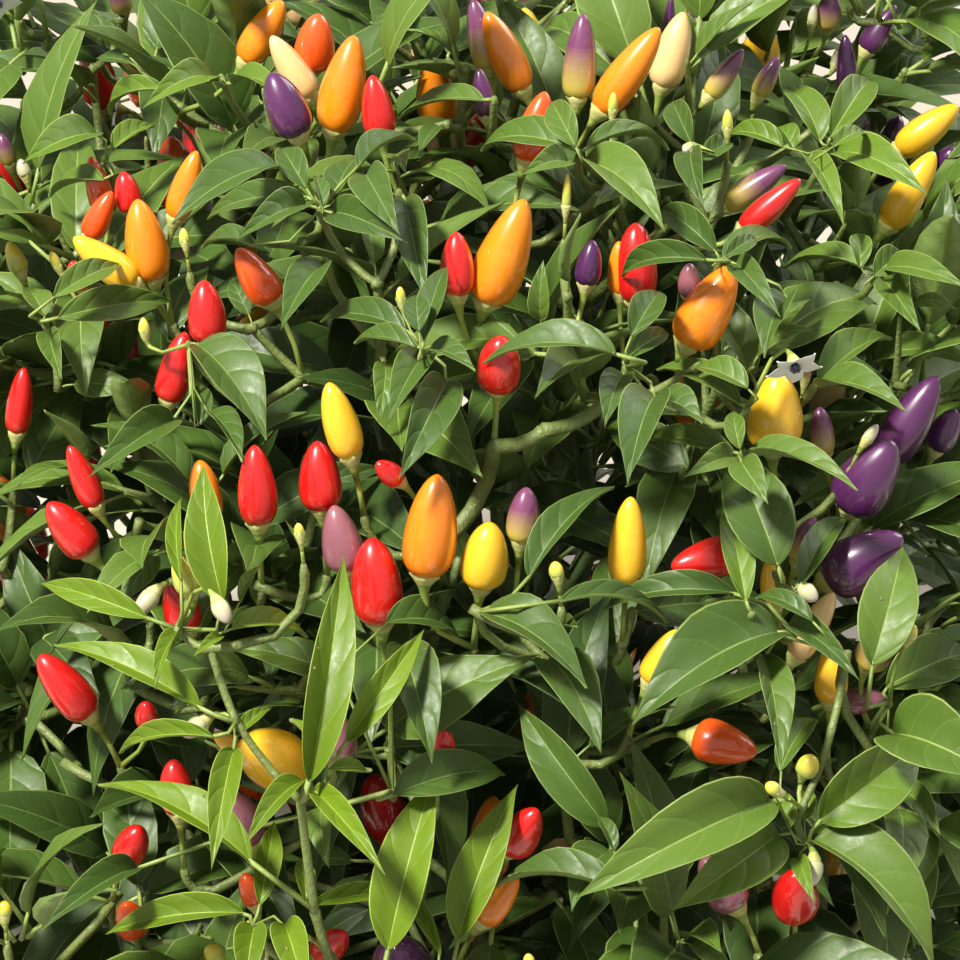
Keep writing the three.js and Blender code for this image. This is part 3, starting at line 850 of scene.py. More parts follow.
def pictured_fruit():
    """The fruit of the photograph. Its share of the line of sight is what is left of its length:
    a fruit that looks short points towards the eye."""
    borne = []
    draw = seeded_random(501)
    for colour, places in fruit_in_picture.items():
        small = colour in small_fruit
        for base_column, base_row, tip_column, tip_row, width in places:
            base = on_dome(base_column, base_row) + away * 0.016 * draw()
            depth = (base - eye) @ away
            tip = behind_pixel(tip_column, tip_row, depth)
            seen = np.linalg.norm(tip - base)
            radius = width / 2 * pixel_size(depth)
            length = max(seen * 1.04, 2 * radius * (1.05 if small else fruit_slimness))
            way = unit(tip - base - away * math.sqrt(length**2 - seen**2))
            stalk = fruit_stalk * (0.5 if small else min(1, 0.55 + radius / fruit_radius / 2))
            if small:
                base = base - away * nearness(base_column, base_row)
            twig = twig_under(base - way * stalk * 0.7 - up * stalk * 0.3, way)
            twig["bears"] = True
            bend = unit(way + up * 0.12 * draw())
            borne.append(fruit_on(twig["end"], colour, base, way, length, radius, bend, True))
    return borne


def in_sight(point):
    """Whether the picture shows a point: one inside its frame, and not far below the dome."""
    column, row, depth = in_picture(point)
    surface = (on_dome(column, row) - eye) @ away
    return -60 < column < 1020 and -60 < row < 1020 and depth < surface + 0.075


def ripe_colour(place, chance):
    """Purple on the side of the picture's right, red on its left, and all colours between."""
    ripeness = 0.5 - place[0] / 0.36 + 0.42 * chance
    colours = ["purple", "mauve", "cream", "yellow", "orange", "scarlet", "red"]
    return colours[int(np.clip(ripeness * 7, 0, 6))]


def drawn_fruit():
    """The fruit of the other twigs, by the source's rule, where the photograph doesn't reach.
    Some tips bear a nodding bud instead."""
    borne = []
    for twig in twigs:
        if "side" in twig:
            continue
        draw = twig["draw"]
        chance = draw()
        lean = square_to(up, 360 * draw()) * fruit_lean * draw()
        length, radius = (full * (1 + fruit_stray * either(draw)) for full in (fruit_length, fruit_radius))
        budding = twig["is_tip"] and chance > bud_from
        if twig["level"] < 1 or chance > (fruit_at_tip if twig["is_tip"] else fruit_at_fork) and not budding:
            continue
        foot = twig["end"] - unit(twig["end"] - twig["start"]) * fruit_foot_at
        rise = unit(twig["last"] * 0.55 + up * 0.75 + lean)
        point = unit(rise + up * 0.35 + lean)
        whole = axis_of(foot, rise, point, fruit_stalk + length)
        (base,), (way,) = (found[0] for found in places_on([whole], [fruit_stalk / whole["length"]]))
        if in_sight(base):
            continue
        colour = ripe_colour(base, either(draw))
        if budding:
            colour, length, radius = "bud", bud_length, bud_radius
            base = foot + (rise + lean) * 0.011
            way = unit(lean * 2 - up * 0.5)
        twig["bears"] = True
        borne.append(fruit_on(foot, colour, base, way, length, radius, way if budding else point, False))
    return borne


def outer_fruit(others):
    """Fruit that stands on the outside of the crown, spread by the golden angle, where the
    photograph doesn't reach, as thick as where it does."""
    borne = []
    draw = seeded_random(502)
    for i in range(outer_places):
        way = spread_way(i, outer_places, outer_drop, 40 * either(draw))
        base = crown_middle + way * crown_reach * (1.0 + 0.04 * either(draw))
        lean = square_to(up, 360 * draw()) * fruit_lean * draw()
        length, radius = (full * (1 + fruit_stray * either(draw)) for full in (fruit_length, fruit_radius))
        colour = ripe_colour(base, either(draw))
        bases = gathered(others + borne, "base")
        if in_sight(base) or np.linalg.norm(bases - base, axis=1).min() < outer_apart:
            continue
        rise = unit(up * 0.9 + way * 0.35 + lean)
        twig = twig_under(base - rise * fruit_stalk * 0.8, rise)
        bend = unit(rise + up * 0.3 * draw())
        borne.append(fruit_on(twig["end"], colour, base, rise, length, radius, bend, False))
    return borne


fruit = pictured_fruit() + drawn_fruit()
fruit += outer_fruit(fruit)

# The fruit: a waxy skin, widest a third of the way up, that tapers to a blunt tip. It turns from
# purple through mauve, cream, yellow and orange to red, and each colour is a piece of its own.
fruit_colours = {
    "purple": ((0.060, 0.010, 0.070), (0.105, 0.018, 0.100)),
    "turning": ((0.20, 0.055, 0.13), (0.11, 0.025, 0.10)),
    "mauve": ((0.30, 0.11, 0.13), (0.20, 0.055, 0.11)),
    "cream": ((0.78, 0.50, 0.19), (0.80, 0.58, 0.28)),
    "yellow": ((0.90, 0.49, 0.016), (0.92, 0.56, 0.03)),
    "orange": ((0.90, 0.27, 0.006), (0.86, 0.18, 0.005)),
    "scarlet": ((0.80, 0.075, 0.006), (0.82, 0.11, 0.008)),
    "red": ((0.66, 0.010, 0.008), (0.56, 0.007, 0.008)),
    "green": ((0.80, 0.62, 0.05), (0.70, 0.62, 0.08)),
    "bud": ((0.40, 0.26, 0.30), (0.66, 0.60, 0.50)),
}
fruit_feet = {  # a foot's colour, the shares between which it turns into the rest, and its steps
    "turning": ((0.56, 0.46, 0.07), 0.05, 0.60, 12),
    "green": ((0.36, 0.46, 0.10), 0.20, 0.60, 4),
    "bud": ((0.50, 0.54, 0.26), 0.20, 0.85, 4),
}
fruit_sides = 12
fruit_rows = 9
shown_sides = 20
shown_rows = 16
turning_rows = 32


def fruit_material(name, colour, blush):
    """Waxy skin: a blush in soft patches, a few paler specks, and a clear coat over it."""
    made, tree, shader = new_material(name)
    patches, grains = add_mottle(tree, 45)
    paler = tuple(min(1.0, c * 1.25 + 0.02) for c in colour)
    tone = blended(tree, ranged(tree, patches, 0, 0.75), colour, blush)
    speck = ranged(tree, grains, 0, 0.3, 0.75, 1.0)
    tree.links.new(blended(tree, speck, tone, paler), shader.inputs["Base Color"])
    tree.links.new(ranged(tree, patches, 0.26, 0.36), shader.inputs["Roughness"])
    shader.inputs["Specular IOR Level"].default_value = 0.5
    shader.inputs["Coat Weight"].default_value = 1.0
    shader.inputs["Coat Roughness"].default_value = 0.05
    embossed(tree, shader, patches, 0.0005, 0.2)
    return made


def stations_of(rows):
    """Shares of a fruit's length at which its rings lie: a cosine's steps, closer at both ends."""
    return (1 - np.cos(math.pi * (np.arange(rows) + 0.5) / rows)) / 2


def fruit_axes(borne, sunk=0.0):
    """The bent axis of each fruit, which may start a little way down in its cup."""
    return [axis_of(one["base"] - one["way"] * sunk, one["way"], one["bend"], one["length"])
            for one in borne]


def fruit_skins(borne, rows, sides):
    """Fruit as skins on bent axes. Below its widest place the radius is full and round, a root of
    one less a cube, and above it falls by one less a power, to a blunt tip. Two draws from the
    place of each fruit change where it is widest, how blunt it is, and how uneven."""
    axes = fruit_axes(borne, sunk=0.0006)
    stations = stations_of(rows)[None]
    draws = gathered(borne, "base") @ [[917.0, 373.0], [533.0, 811.0], [271.0, 659.0]] % 1
    widest = 0.28 + 0.12 * draws[:, :1]
    power = 1.45 + 0.6 * draws[:, 1:]
    below = (1 - np.clip(1 - stations / widest, 0, 1) ** 3) ** 0.42
    above = (1 - np.clip((stations - widest) / (1 - widest), 0, 1) ** power) ** 0.56
    radius = (below * above * gathered(borne, "radius")[:, None])[..., None]
    waves = np.cos(3 * turns(sides) + 9 * draws[:, :1, None])
    rings, ends = skins(axes, stations[0], radius * (1 + 0.035 * waves * (1 - stations[..., None])), sides)
    points, ahead = places_on(axes, [0, 1])
    reach = gathered(borne, "length")[:, None] * [0.02, -0.004]
    return rings, points + ahead * reach[..., None]


for colour, (plain, blush) in fruit_colours.items():
    finishes = [fruit_material("fruit_" + colour, plain, blush)]
    foot, foot_end, rest_from, steps = fruit_feet.get(colour, (plain, -1, 0, 1))
    for step in range(1, steps):
        left = step / steps
        mixed = [tuple(np.array(foot) * left + np.array(tone) * (1 - left)) for tone in (plain, blush)]
        finishes.append(fruit_material(f"fruit_{colour}_{step}", *mixed))
    near_rows = turning_rows if colour == "turning" else shown_rows
    for group, rows, sides in (("", near_rows, shown_sides), ("far_", fruit_rows, fruit_sides)):
        borne = [one for one in fruit if one["colour"] == colour and one["shown"] == (group == "")]
        if borne:
            name = "bud" if colour == "bud" else "fruit_" + colour
            foot_share = (rest_from - stations_of(rows)[:-1, None]) / (rest_from - foot_end)
            worn = np.clip(np.ceil(foot_share * steps), 0, len(finishes) - 1)
            skin = fruit_skins(borne, rows, sides)
            make_piece(group + name, *skin, finishes, name.replace("turning", "mauve"), worn)

# The stalks. Each fruit stands on a green stalk of soft tissue that thickens to a pale, shallow cup
# with five blunt teeth, which holds the foot of the fruit.
stalk_sides = 10
stalk_before = np.array([1.0, 0.6, 0.3])  # rings of the stalk, as shares of its length before the cup
cup_before = np.array([0.0062, 0.0042, 0.0026, 0.0012, 0.0, -0.0007, -0.0002])  # metres before the fruit
cup_radius = np.array([0.0012, 0.0016, 0.0024, 0.0034, 0.0041, 0.0040, 0.0025])
stalk_radius = 0.00085
stalk_thick = [1.25, 1.0, 1.05]  # shares of that radius at the stalk's own rings
rim_from = 6  # the last ring of the cup without teeth
cup_from = 5  # the first strip between rings that is the cup's


def stalk_skins(borne):
    """Stalks and cups as one skin: rings set back from the foot of the fruit along the stalk,
    whose radius swells to the cup and turns in over its rim."""
    stalks = [one["stalk"] for one in borne]
    length = gathered(stalks, "length")[:, None]
    cup = np.broadcast_to(cup_before, (len(borne), len(cup_before)))
    back = np.concatenate([stalk_before * length, cup], axis=1)
    size = (gathered(borne, "radius")[:, None] / fruit_radius) ** 0.65
    radius = np.concatenate([stalk_radius * size**0.5 * stalk_thick, cup_radius * size], axis=1)
    teeth = 1 + 0.09 * np.cos(5 * turns(stalk_sides)) * (np.arange(back.shape[1]) > rim_from)[:, None]
    return skins(stalks, 1 - back / length, radius[..., None] * teeth[None], stalk_sides)


# The places of the flowers. They are borne on the same green stalks and cups as the fruit, at the
# tips of twigs, and each is given by the pixels of its foot and of its face.
flowers_in_picture = [(786, 366, 801, 392), (6, 12, 16, 28)]
flower_radius = 0.0027
flower_near = 0.024
flower_chance = 0.07
flowers = []
for foot_column, foot_row, face_column, face_row in flowers_in_picture:
    base = on_dome(foot_column, foot_row) - away * flower_near
    faced = behind_pixel(face_column, face_row, (base - eye) @ away)
    flowers.append({"base": base, "way": unit(unit(faced - base) - away * 0.5)})
draw = seeded_random(503)
for twig in [twig for twig in twigs if twig["is_tip"] and "side" not in twig]:
    chance, lean = draw(), square_to(up, 360 * draw())
    base = twig["end"] + up * 0.012 + lean * 0.010
    if chance < flower_chance and not in_sight(base):
        flowers.append({"base": base, "way": unit(lean + up * 0.2)})
for flower in flowers:
    nearest = nearest_twig(flower["base"] - up * 0.012)
    flower.update(stalk=axis_between(nearest["end"], flower["base"], flower["way"]), radius=flower_radius)
stalk_green = tissue_material("stalk_green", (0.18, 0.26, 0.04), (0.34, 0.41, 0.09))
cup_pale = tissue_material("cup_pale", (0.38, 0.42, 0.11), (0.60, 0.57, 0.24))
rings, ends = stalk_skins(fruit + flowers)
stalk_worn = (np.arange(rings.shape[1] - 1) >= cup_from).astype(int)[:, None]
make_piece("fruit_stalks", rings, ends, [stalk_green, cup_pale], "fruit_stalk", stalk_worn)

# The leaves: a drawn-out oval that is widest at two fifths, folded along a pale rib, with a thin
# pale margin, drooping, and paler and duller below. Each grows on a short stalk of its own.
leaf_length = 0.049
leaf_slimness = 0.414  # its width as a share of its length
leaf_stray = 0.16
leaf_stalk = 0.011
leaf_spacing = 0.0035
leaves_at_fork = 3
leaves_at_tip = 7
leaves_at_side = 5
rise_at_fork = 24
rise_at_tip = 34
leaf_rise_stray = 14
leaf_turn_stray = 26
leaf_roll_stray = 20
leaf_weight = 0.12
leaf_tries = 9
leaf_turn_at_try = 50
leaf_lift_at_try = 9
leaf_thickness = 0.00035
lowest_reach = 0.010
rib_half = 0.03
margin_from = 0.95
under_rib = 0.07
upper_across = [1, margin_from, 0.5, rib_half, -rib_half, -0.5, -margin_from, -1]
leaf_across = np.array(upper_across + [-under_rib, under_rib])
leaf_sunk = np.array([0, 0, 0, 0, 0, 0, 0, 0, 2.2, 2.2]) * leaf_thickness
leaf_worn = [1, 0, 0, 1, 0, 0, 1, 2, 1, 2]  # blade, rib and margin, underside
front_across = np.array(upper_across + [-0.55, -under_rib, under_rib, 0.55])
front_sunk = np.array([0, 0, 0, 0, 0, 0, 0, 0, 2.4, 2.8, 2.8, 2.4]) * leaf_thickness
front_worn = [1, 0, 0, 1, 0, 0, 1, 2, 2, 1, 2, 2]
leaf_shares = np.array([0.02, 0.09, 0.20, 0.35, 0.52, 0.69, 0.84, 0.95])
front_shares = np.array([0.01, 0.03, 0.06, 0.10, 0.15, 0.21, 0.28, 0.36,
                         0.45, 0.55, 0.65, 0.75, 0.84, 0.91, 0.96, 0.985])
most_leaves_in_piece = 1100
leaf_trespass = 0.012  # metres past the walls of its mass's space
first_dip = -0.2  # radians below level at which the rib leaves its stalk
shown_tries = 12
shown_step = 0.0022  # metres nearer to the eye at each new try
shown_breadth = 1.42  # the flat width of a leaf over its folded one
shown_fold = 0.76
young_fold = 0.856
guarded_shares = np.array([0.05, 0.2, 0.35, 0.5, 0.65, 0.8, 0.93])
guarded_across = np.array([-0.55, 0, 0.55])


def blades(leaves, shares, across, sunk=0.0):
    """Points on many leaves. The rib's heading falls evenly, so it is an arc; the half width is
    a power of the share times a power of what is left, and is whole at a third; and each half
    rises from the rib by the fold, less a cup that grows with the square, and ripples towards
    its margin."""

    def column(key, *more):
        """A value of each leaf, with axes for the shares and for the places across."""
        return gathered(leaves, key)[:, None, None, *more]

    base, along, face, side = (column(key) for key in ("base", "along", "face", "side"))
    length, width, droop, fold, cup, twist, phase = (
        column(key, None) for key in ("length", "width", "droop", "fold", "cup", "twist", "phase"))
    s, v = shares[None, :, None, None], across[None, None, :, None]
    dip = first_dip + droop * s
    forward = (np.sin(dip) - math.sin(first_dip)) / droop
    raised = (np.cos(dip) - math.cos(first_dip)) / droop
    normal = face * np.cos(dip) + along * np.sin(dip)
    sideways = side * np.cos(twist * s) + normal * np.sin(twist * s)
    normal = normal * np.cos(twist * s) - side * np.sin(twist * s)
    half = width * (s / 0.34) ** 0.75 * ((1 - s) / 0.66) ** 1.456 / 2
    bend = fold * (1 - 0.35 * s)
    ripple = 0.05 * v * v * np.sin(12 * s + phase + 1.6 * np.sign(v))
    lift = abs(v) * np.sin(bend) - cup * v * v + ripple
    rib = base + length * (along * forward + face * raised)
    sunk = np.broadcast_to(sunk, across.shape)[None, None, :, None]
    return rib + half * (v * np.cos(bend) * sideways + lift * normal) - sunk * normal


def blade_ends(leaves):
    """The two points in which each leaf ends."""
    return blades(leaves, np.array([0.0, 1.0]), np.array([0.0]))[:, :, 0]


def leaf_from(twig, draws, tries):
    """A leaf on its twig, turned further round and raised at each new try."""
    forward = twig["last"]
    beside = unit(np.cross(forward, twig["flat"]))
    out = turned(beside, forward, draws["round"] + tries * leaf_turn_at_try)
    lift = math.radians(draws["rise"] + tries * leaf_lift_at_try)
    along = unit(out * math.cos(lift) + forward * math.sin(lift) - up * leaf_weight)
    face = forward * 0.45 + up * 0.8
    face = unit(face - along * (face @ along))
    face = turned(face, along, draws["roll"])
    return {**draws, "base": draws["foot"] + along * draws["stalk"] + up * 0.0015, "along": along,
            "face": face, "side": np.cross(face, along), "front": False}


def leaf_draws(twig):
    """What is drawn for each leaf of a twig. At a tip the leaves nearest to the end are young
    and small."""
    draw = twig["draw"]
    rise = rise_at_tip if twig["is_tip"] else rise_at_fork
    count = leaves_at_side if "side" in twig else leaves_at_tip if twig["is_tip"] else leaves_at_fork
    tone = spray_tone_and_painted_shade(twig)
    drawn = []
    for i in range(count):
        grown = min(1.05, 0.42 + 0.2 * i) if twig["is_tip"] and "side" not in twig else 1.05
        size = grown * (1 + leaf_stray * either(draw))
        turn = i * golden_angle + leaf_turn_stray * either(draw)
        drawn.append({
            "foot": twig["end"] - unit(twig["end"] - twig["start"]) * leaf_spacing * (i * 0.7 + 0.2),
            "round": turn,
            "rise": rise + 12 * (1 - grown) + leaf_rise_stray * either(draw),
            "roll": leaf_roll_stray * either(draw),
            "length": leaf_length * size,
            "width": leaf_length * size * leaf_slimness * (1 + 0.15 * either(draw)),
            "stalk": leaf_stalk * size * (1 + 0.3 * either(draw)),
            "droop": 1.0 + 0.55 * either(draw),
            "fold": 0.58 + 0.25 * either(draw),
            "cup": 0.18 + 0.12 * either(draw),
            "twist": 0.35 * either(draw),
            "phase": 6.28 * draw(),
            "tone": tone,
        })
    return drawn


def shown_leaf(twig, place, draw, tries):
    """A leaf from its foot to its tip in the picture. What is left of its length once its share
    across the line of sight is taken off goes along that line, to the side that slopes least.
    Each new try sets the leaf nearer to the eye on its own lines of sight."""
    foot_column, foot_row, tip_column, tip_row, width, *own_tone = place
    depth = (twig["end"] - eye) @ away - shown_step * tries
    base = behind_pixel(foot_column, foot_row, depth)
    tip = behind_pixel(tip_column, tip_row, depth)
    seen = np.linalg.norm(tip - base)
    length = max(seen * 1.05, min(shown_leaf_length, seen * 1.5))
    beyond = math.sqrt(length**2 - seen**2)
    tips = [tip + away * beyond, tip - away * beyond]
    tip = min(tips, key=lambda end: abs((end - base)[2] - shown_leaf_slope * length))
    droop = 0.7 + 0.6 * draw()
    dip = first_dip + droop
    forward, raised = math.sin(dip) - math.sin(first_dip), math.cos(dip) - math.cos(first_dip)
    chord, lean = math.hypot(forward, raised) / droop, math.atan2(raised, forward)
    ahead = unit(tip - base)
    normal = up * 0.75 - away * 0.5
    normal = turned(unit(normal - ahead * (normal @ ahead)), ahead, 22 * either(draw))
    along = ahead * math.cos(lean) - normal * math.sin(lean)
    face = ahead * math.sin(lean) + normal * math.cos(lean)
    tone = own_tone[0] if own_tone else twig["tone"]
    return {"foot": twig["end"], "base": base, "along": along, "face": face, "side": np.cross(face, along),
            "length": np.linalg.norm(tip - base) / chord, "width": width * pixel_size(depth) * shown_breadth,
            "droop": droop, "fold": (young_fold if tone == "young" else shown_fold) + 0.3 * draw(),
            "cup": 0.14 + 0.14 * draw(), "twist": 0.35 * either(draw), "phase": 6.28 * draw(),
            "tone": tone, "front": True}


def spray_tone_and_painted_shade(twig):
    """The tone of a whole spray, drawn for each spray, with painted light and shade: brighter near the top
    and the outside of the crown, where light falls, and darker deep inside it, where shade falls.
    """
    chance = seeded_random(twig["mass"]["seed"] * 97 + int(abs(twig["end"][0]) * 1e4) % 89)()
    outside = np.linalg.norm((twig["end"] - crown_middle) / crown_reach)
    # Painted light: lit grows with the spray's height and its reach from the middle of the crown.
    lit = chance * 0.8 + 2.2 * (outside - 0.85) + 0.9 * (twig["end"][2] - 0.26) / 0.28
    return "deep" if lit < 0.35 else "dark" if lit < 0.85 else "mid"


def fruit_discs(borne, shares, widths):
    """Points on the axes of fruit at shares of their length, and shares of their radius there."""
    centre = places_on(fruit_axes(borne), shares)[0].reshape(-1, 3)
    return centre, (gathered(borne, "radius")[:, None] * widths).reshape(-1)


box_low, box_high = (np.array(corner) for corner in solid_box)
cell = 0.0016
cells_low = box_low - 0.04
cells_count = np.ceil((box_high - box_low + 0.08) / cell).astype(int)
leaf_cells = np.zeros(cells_count, bool)  # what leaves take up
fruit_cells = np.zeros(cells_count, bool)
marked_shares = np.linspace(0.08, 1, 30)
marked_across = np.linspace(-1, 1, 13)
tested_shares = np.linspace(0.08, 1, 25)
tested_across = np.linspace(-1, 1, 7)
beside_cell = np.concatenate([np.zeros((1, 3)), np.eye(3), -np.eye(3)]) * cell / 2
sight_cell = 4  # pixels
sight_margin = 100
sight_count = (picture_side + 2 * sight_margin) // sight_cell
nearest_allowed = np.full((sight_count, sight_count), -1.0)  # no new leaf stands before this depth
guard_behind = 0.003
box_stray = 0.006


def cells_of(points):
    """The cells of a grid over the plant in which points lie."""
    found = ((points - cells_low) / cell).astype(int)
    return tuple(np.clip(found, 0, cells_count - 1).T)


def guard(found, radius):
    """Writes points of the picture into the map of depths, each with its reach in metres. What
    lies there may not be hidden by new leaves."""
    for (column, row, depth), reach in zip(found, radius / pixel_size(found[:, 2])):
        place = np.array([column, row]) + sight_margin
        low = np.clip((place - reach) // sight_cell, 0, sight_count - 1).astype(int)
        high = np.clip((place + reach) // sight_cell + 1, 1, sight_count).astype(int)
        square = nearest_allowed[low[0]:high[0], low[1]:high[1]]
        np.maximum(square, depth + guard_behind, out=square)


def hides_something(points):
    """Whether any of the points lies in front of a guarded place of the picture."""
    column, row, depth = in_picture(points).T
    at = [((place + sight_margin) // sight_cell).astype(int) for place in (column, row)]
    inside = (np.minimum(*at) >= 0) & (np.maximum(*at) < sight_count)
    if not inside.any():
        return False
    return bool(np.any(depth[inside] < nearest_allowed[at[0][inside], at[1][inside]]))


def place_leaf(leaf):
    """Adds a leaf, and marks the cells that it takes up."""
    points = blades([leaf], marked_shares, marked_across)[0].reshape(-1, 1, 3) + beside_cell
    leaf_cells[cells_of(points.reshape(-1, 3))] = True
    leaves.append(leaf)


def is_taken(points):
    """Whether fruit or another leaf takes up the cell of any of the points."""
    at = cells_of(points)
    return bool(leaf_cells[at].any() or fruit_cells[at].any())


def leaf_fits(leaf, mass=None):
    """Whether a leaf keeps to its mass's space and the plant's reach, hides none of what the
    photograph shows, and is clear of the fruit and of other leaves."""
    points = blades([leaf], tested_shares, tested_across)[0].reshape(-1, 3)
    low, high = points.min(axis=0), points.max(axis=0)
    if low[2] < lowest_reach or np.any(low < box_low - box_stray) or np.any(high > box_high + box_stray):
        return False
    if mass and not in_own_space(points, mass, leaf_trespass):
        return False
    return not (hides_something(points) or is_taken(points))


shown_fruit = [one for one in fruit if one["shown"]]
fruit_seen, fruit_reach = fruit_discs(shown_fruit, [0, 0.25, 0.5, 0.75, 0.95], [0.5, 1, 0.95, 0.7, 0.4])
guard(in_picture(fruit_seen), fruit_reach)
bare_twigs = [twig for twig in twigs if twig.get("bare")]
stem_seen = in_picture(places_on(bare_twigs, np.linspace(0.05, 0.95, 12))[0].reshape(-1, 3))
guard(stem_seen, 4.0 * pixel_size(stem_seen[:, 2]))
guard(in_picture(np.array([flower["base"] + flower["way"] * 0.003 for flower in flowers])), 0.008)
cube = np.stack(np.meshgrid(*[np.arange(-0.010, 0.0101, cell)] * 3, indexing="ij"), axis=-1).reshape(-1, 3)
cube_reach = np.linalg.norm(cube, axis=1)
fruit_cores = fruit_discs(fruit, [0.1, 0.35, 0.6, 0.85], [0.8, 1.05, 0.85, 0.5])
for centre, radius in zip(*fruit_cores):
    fruit_cells[cells_of(centre + cube[cube_reach < radius + 0.0006])] = True

leaves = []
for twig in twigs:
    for place in twig.get("shown_leaves", []):
        for tries in range(shown_tries):
            leaf = shown_leaf(twig, place, seeded_random(7000 + len(leaves)), tries)
            if not is_taken(blades([leaf], tested_shares, tested_across)[0].reshape(-1, 3)):
                break
        place_leaf(leaf)
leaf_seen = in_picture(blades(leaves, guarded_shares, guarded_across).reshape(-1, 3))
guard(leaf_seen, np.repeat(gathered(leaves, "width"), len(guarded_shares) * len(guarded_across)) * 0.25)

for twig in twigs:
    if twig["level"] == 0 or "draw" not in twig:
        continue
    for draws in leaf_draws(twig):
        for tries in range(leaf_tries):
            leaf = leaf_from(twig, draws, tries)
            if leaf_fits(leaf, twig["mass"]):
                place_leaf(leaf)
                twig["leafy"] = True
                break

# The leaves that close gaps. Where the eye would still see past the crown between the other leaves,
# one more leaf like them grows there, on a green twig at its foot.
gap_cell = 8  # pixels
gap_leaf = 95  # its length in pixels
gap_depths = [0.015, 0.03, 0.045, 0.06, 0.08, 0.10, 0.12]  # metres behind the dome
gap_turns = 9
gap_fold = 0.3
gap_slimness = 0.38
covered = np.zeros((picture_side // gap_cell,) * 2, bool)


def cover(points):
    """Marks the cells of the picture in which points lie."""
    at = (in_picture(points)[:, :2] // gap_cell).astype(int)
    at = at[np.all((at >= 0) & (at < len(covered)), axis=1)]
    covered[at[:, 0], at[:, 1]] = True


def close_gap(column, row):
    """A leaf whose broadest part lies on a line of sight, on a new twig at its foot."""
    for tries in range(gap_turns * len(gap_depths)):
        turn = math.radians(tries * golden_angle)
        way = np.array([math.cos(turn), math.sin(turn)]) * gap_leaf
        foot, tip = np.array([column, row]) - way * 0.35, np.array([column, row]) + way * 0.65
        end = on_dome(*foot) + away * gap_depths[tries // gap_turns]
        # Painted shade: a gap leaf low in the crown takes the darker deep tone.
        tone = "deep" if end[2] < 0.30 else "dark"
        place = (*foot, *tip, gap_leaf * gap_slimness)
        leaf = shown_leaf({"end": end, "tone": tone}, place, seeded_random(9000 + len(leaves)), 0)
        leaf.update(front=False, fold=gap_fold)
        if leaf_fits(leaf):
            shoot_to(end, unit(up * 0.6 - away * 0.5))["bears"] = True
            place_leaf(leaf)
            cover(blades([leaf], marked_shares, marked_across).reshape(-1, 3))
            return


cover(blades(leaves, marked_shares, tested_across).reshape(-1, 3))
cover(fruit_cores[0])
cover(places_on(twigs, np.linspace(0, 1, 9))[0].reshape(-1, 3))
for column, row in np.argwhere(~covered):
    if not covered[column, row]:
        close_gap((column + 0.5) * gap_cell, (row + 0.5) * gap_cell)

# The blades, satin above and paler below, with a pale rib and margin. Each tone is a piece of its
# own, or more than one, and the leaves in front have finer faces than the rest.
# Deep, dark and mid are one green with painted shade and light: darker inside and low in the crown, lighter
# on its top. Bright is a fresher green that is also painted lighter, and young is the yellow-green of new
# leaves.
leaf_tones_and_painted_shade = {  # two tones of the blade, and two of its rib and margin
    "deep": ((0.024, 0.052, 0.008), (0.038, 0.078, 0.012), (0.074, 0.122, 0.025), (0.136, 0.198, 0.046)),
    "dark": ((0.037, 0.077, 0.010), (0.060, 0.113, 0.016), (0.110, 0.172, 0.034), (0.186, 0.258, 0.062)),
    "mid": ((0.062, 0.116, 0.013), (0.092, 0.158, 0.020), (0.158, 0.228, 0.041), (0.240, 0.318, 0.075)),
    "bright": ((0.072, 0.134, 0.010), (0.108, 0.186, 0.016), (0.190, 0.275, 0.042), (0.280, 0.365, 0.080)),
    "young": ((0.078, 0.138, 0.004), (0.122, 0.202, 0.007), (0.220, 0.305, 0.026), (0.320, 0.405, 0.062)),
}
side_veins = 5


def vein_group():
    """Side veins from the leaf's own place attribute, whose first number runs along the rib and
    whose second runs across. Share minus a slant of the distance from the rib, taken in even
    steps, gives a crease along each vein and a swelling between two. The third number is the
    leaf's own tone."""
    tree = bpy.data.node_groups.new("side_veins", "ShaderNodeTree")
    for name in ("Crease", "Swelling", "Tone"):
        tree.interface.new_socket(name, in_out="OUTPUT", socket_type="NodeSocketFloat")
    left = tree.nodes.new("NodeGroupOutput")
    place = tree.nodes.new("ShaderNodeAttribute")
    place.attribute_name = "leaf_place"
    parts = tree.nodes.new("ShaderNodeSeparateXYZ")
    tree.links.new(place.outputs["Vector"], parts.inputs["Vector"])

    def worked_out(kind, first, second):
        """The outcome of a sum of two values, which are numbers or the outcomes of other sums."""
        node = tree.nodes.new("ShaderNodeMath")
        node.operation = kind
        for i, value in enumerate((first, second)):
            if isinstance(value, (int, float)):
                node.inputs[i].default_value = value
            else:
                tree.links.new(value, node.inputs[i])
        return node.outputs[0]

    from_rib = worked_out("ABSOLUTE", parts.outputs["Y"], 0)
    curved = worked_out("POWER", from_rib, 1.3)
    slanted = worked_out("SUBTRACT", parts.outputs["X"], worked_out("MULTIPLY", curved, 0.2))
    stepped = worked_out("FRACT", worked_out("MULTIPLY", slanted, side_veins), 0)
    middle = worked_out("ABSOLUTE", worked_out("SUBTRACT", stepped, 0.5), 0)
    tree.links.new(ranged(tree, middle, 0, 1, 0.44, 0.5), left.inputs["Crease"])
    fading = worked_out("SUBTRACT", 1, worked_out("POWER", worked_out("MULTIPLY", middle, 2), 3))
    tree.links.new(fading, left.inputs["Swelling"])
    tree.links.new(parts.outputs["Z"], left.inputs["Tone"])
    return tree


veins = vein_group()


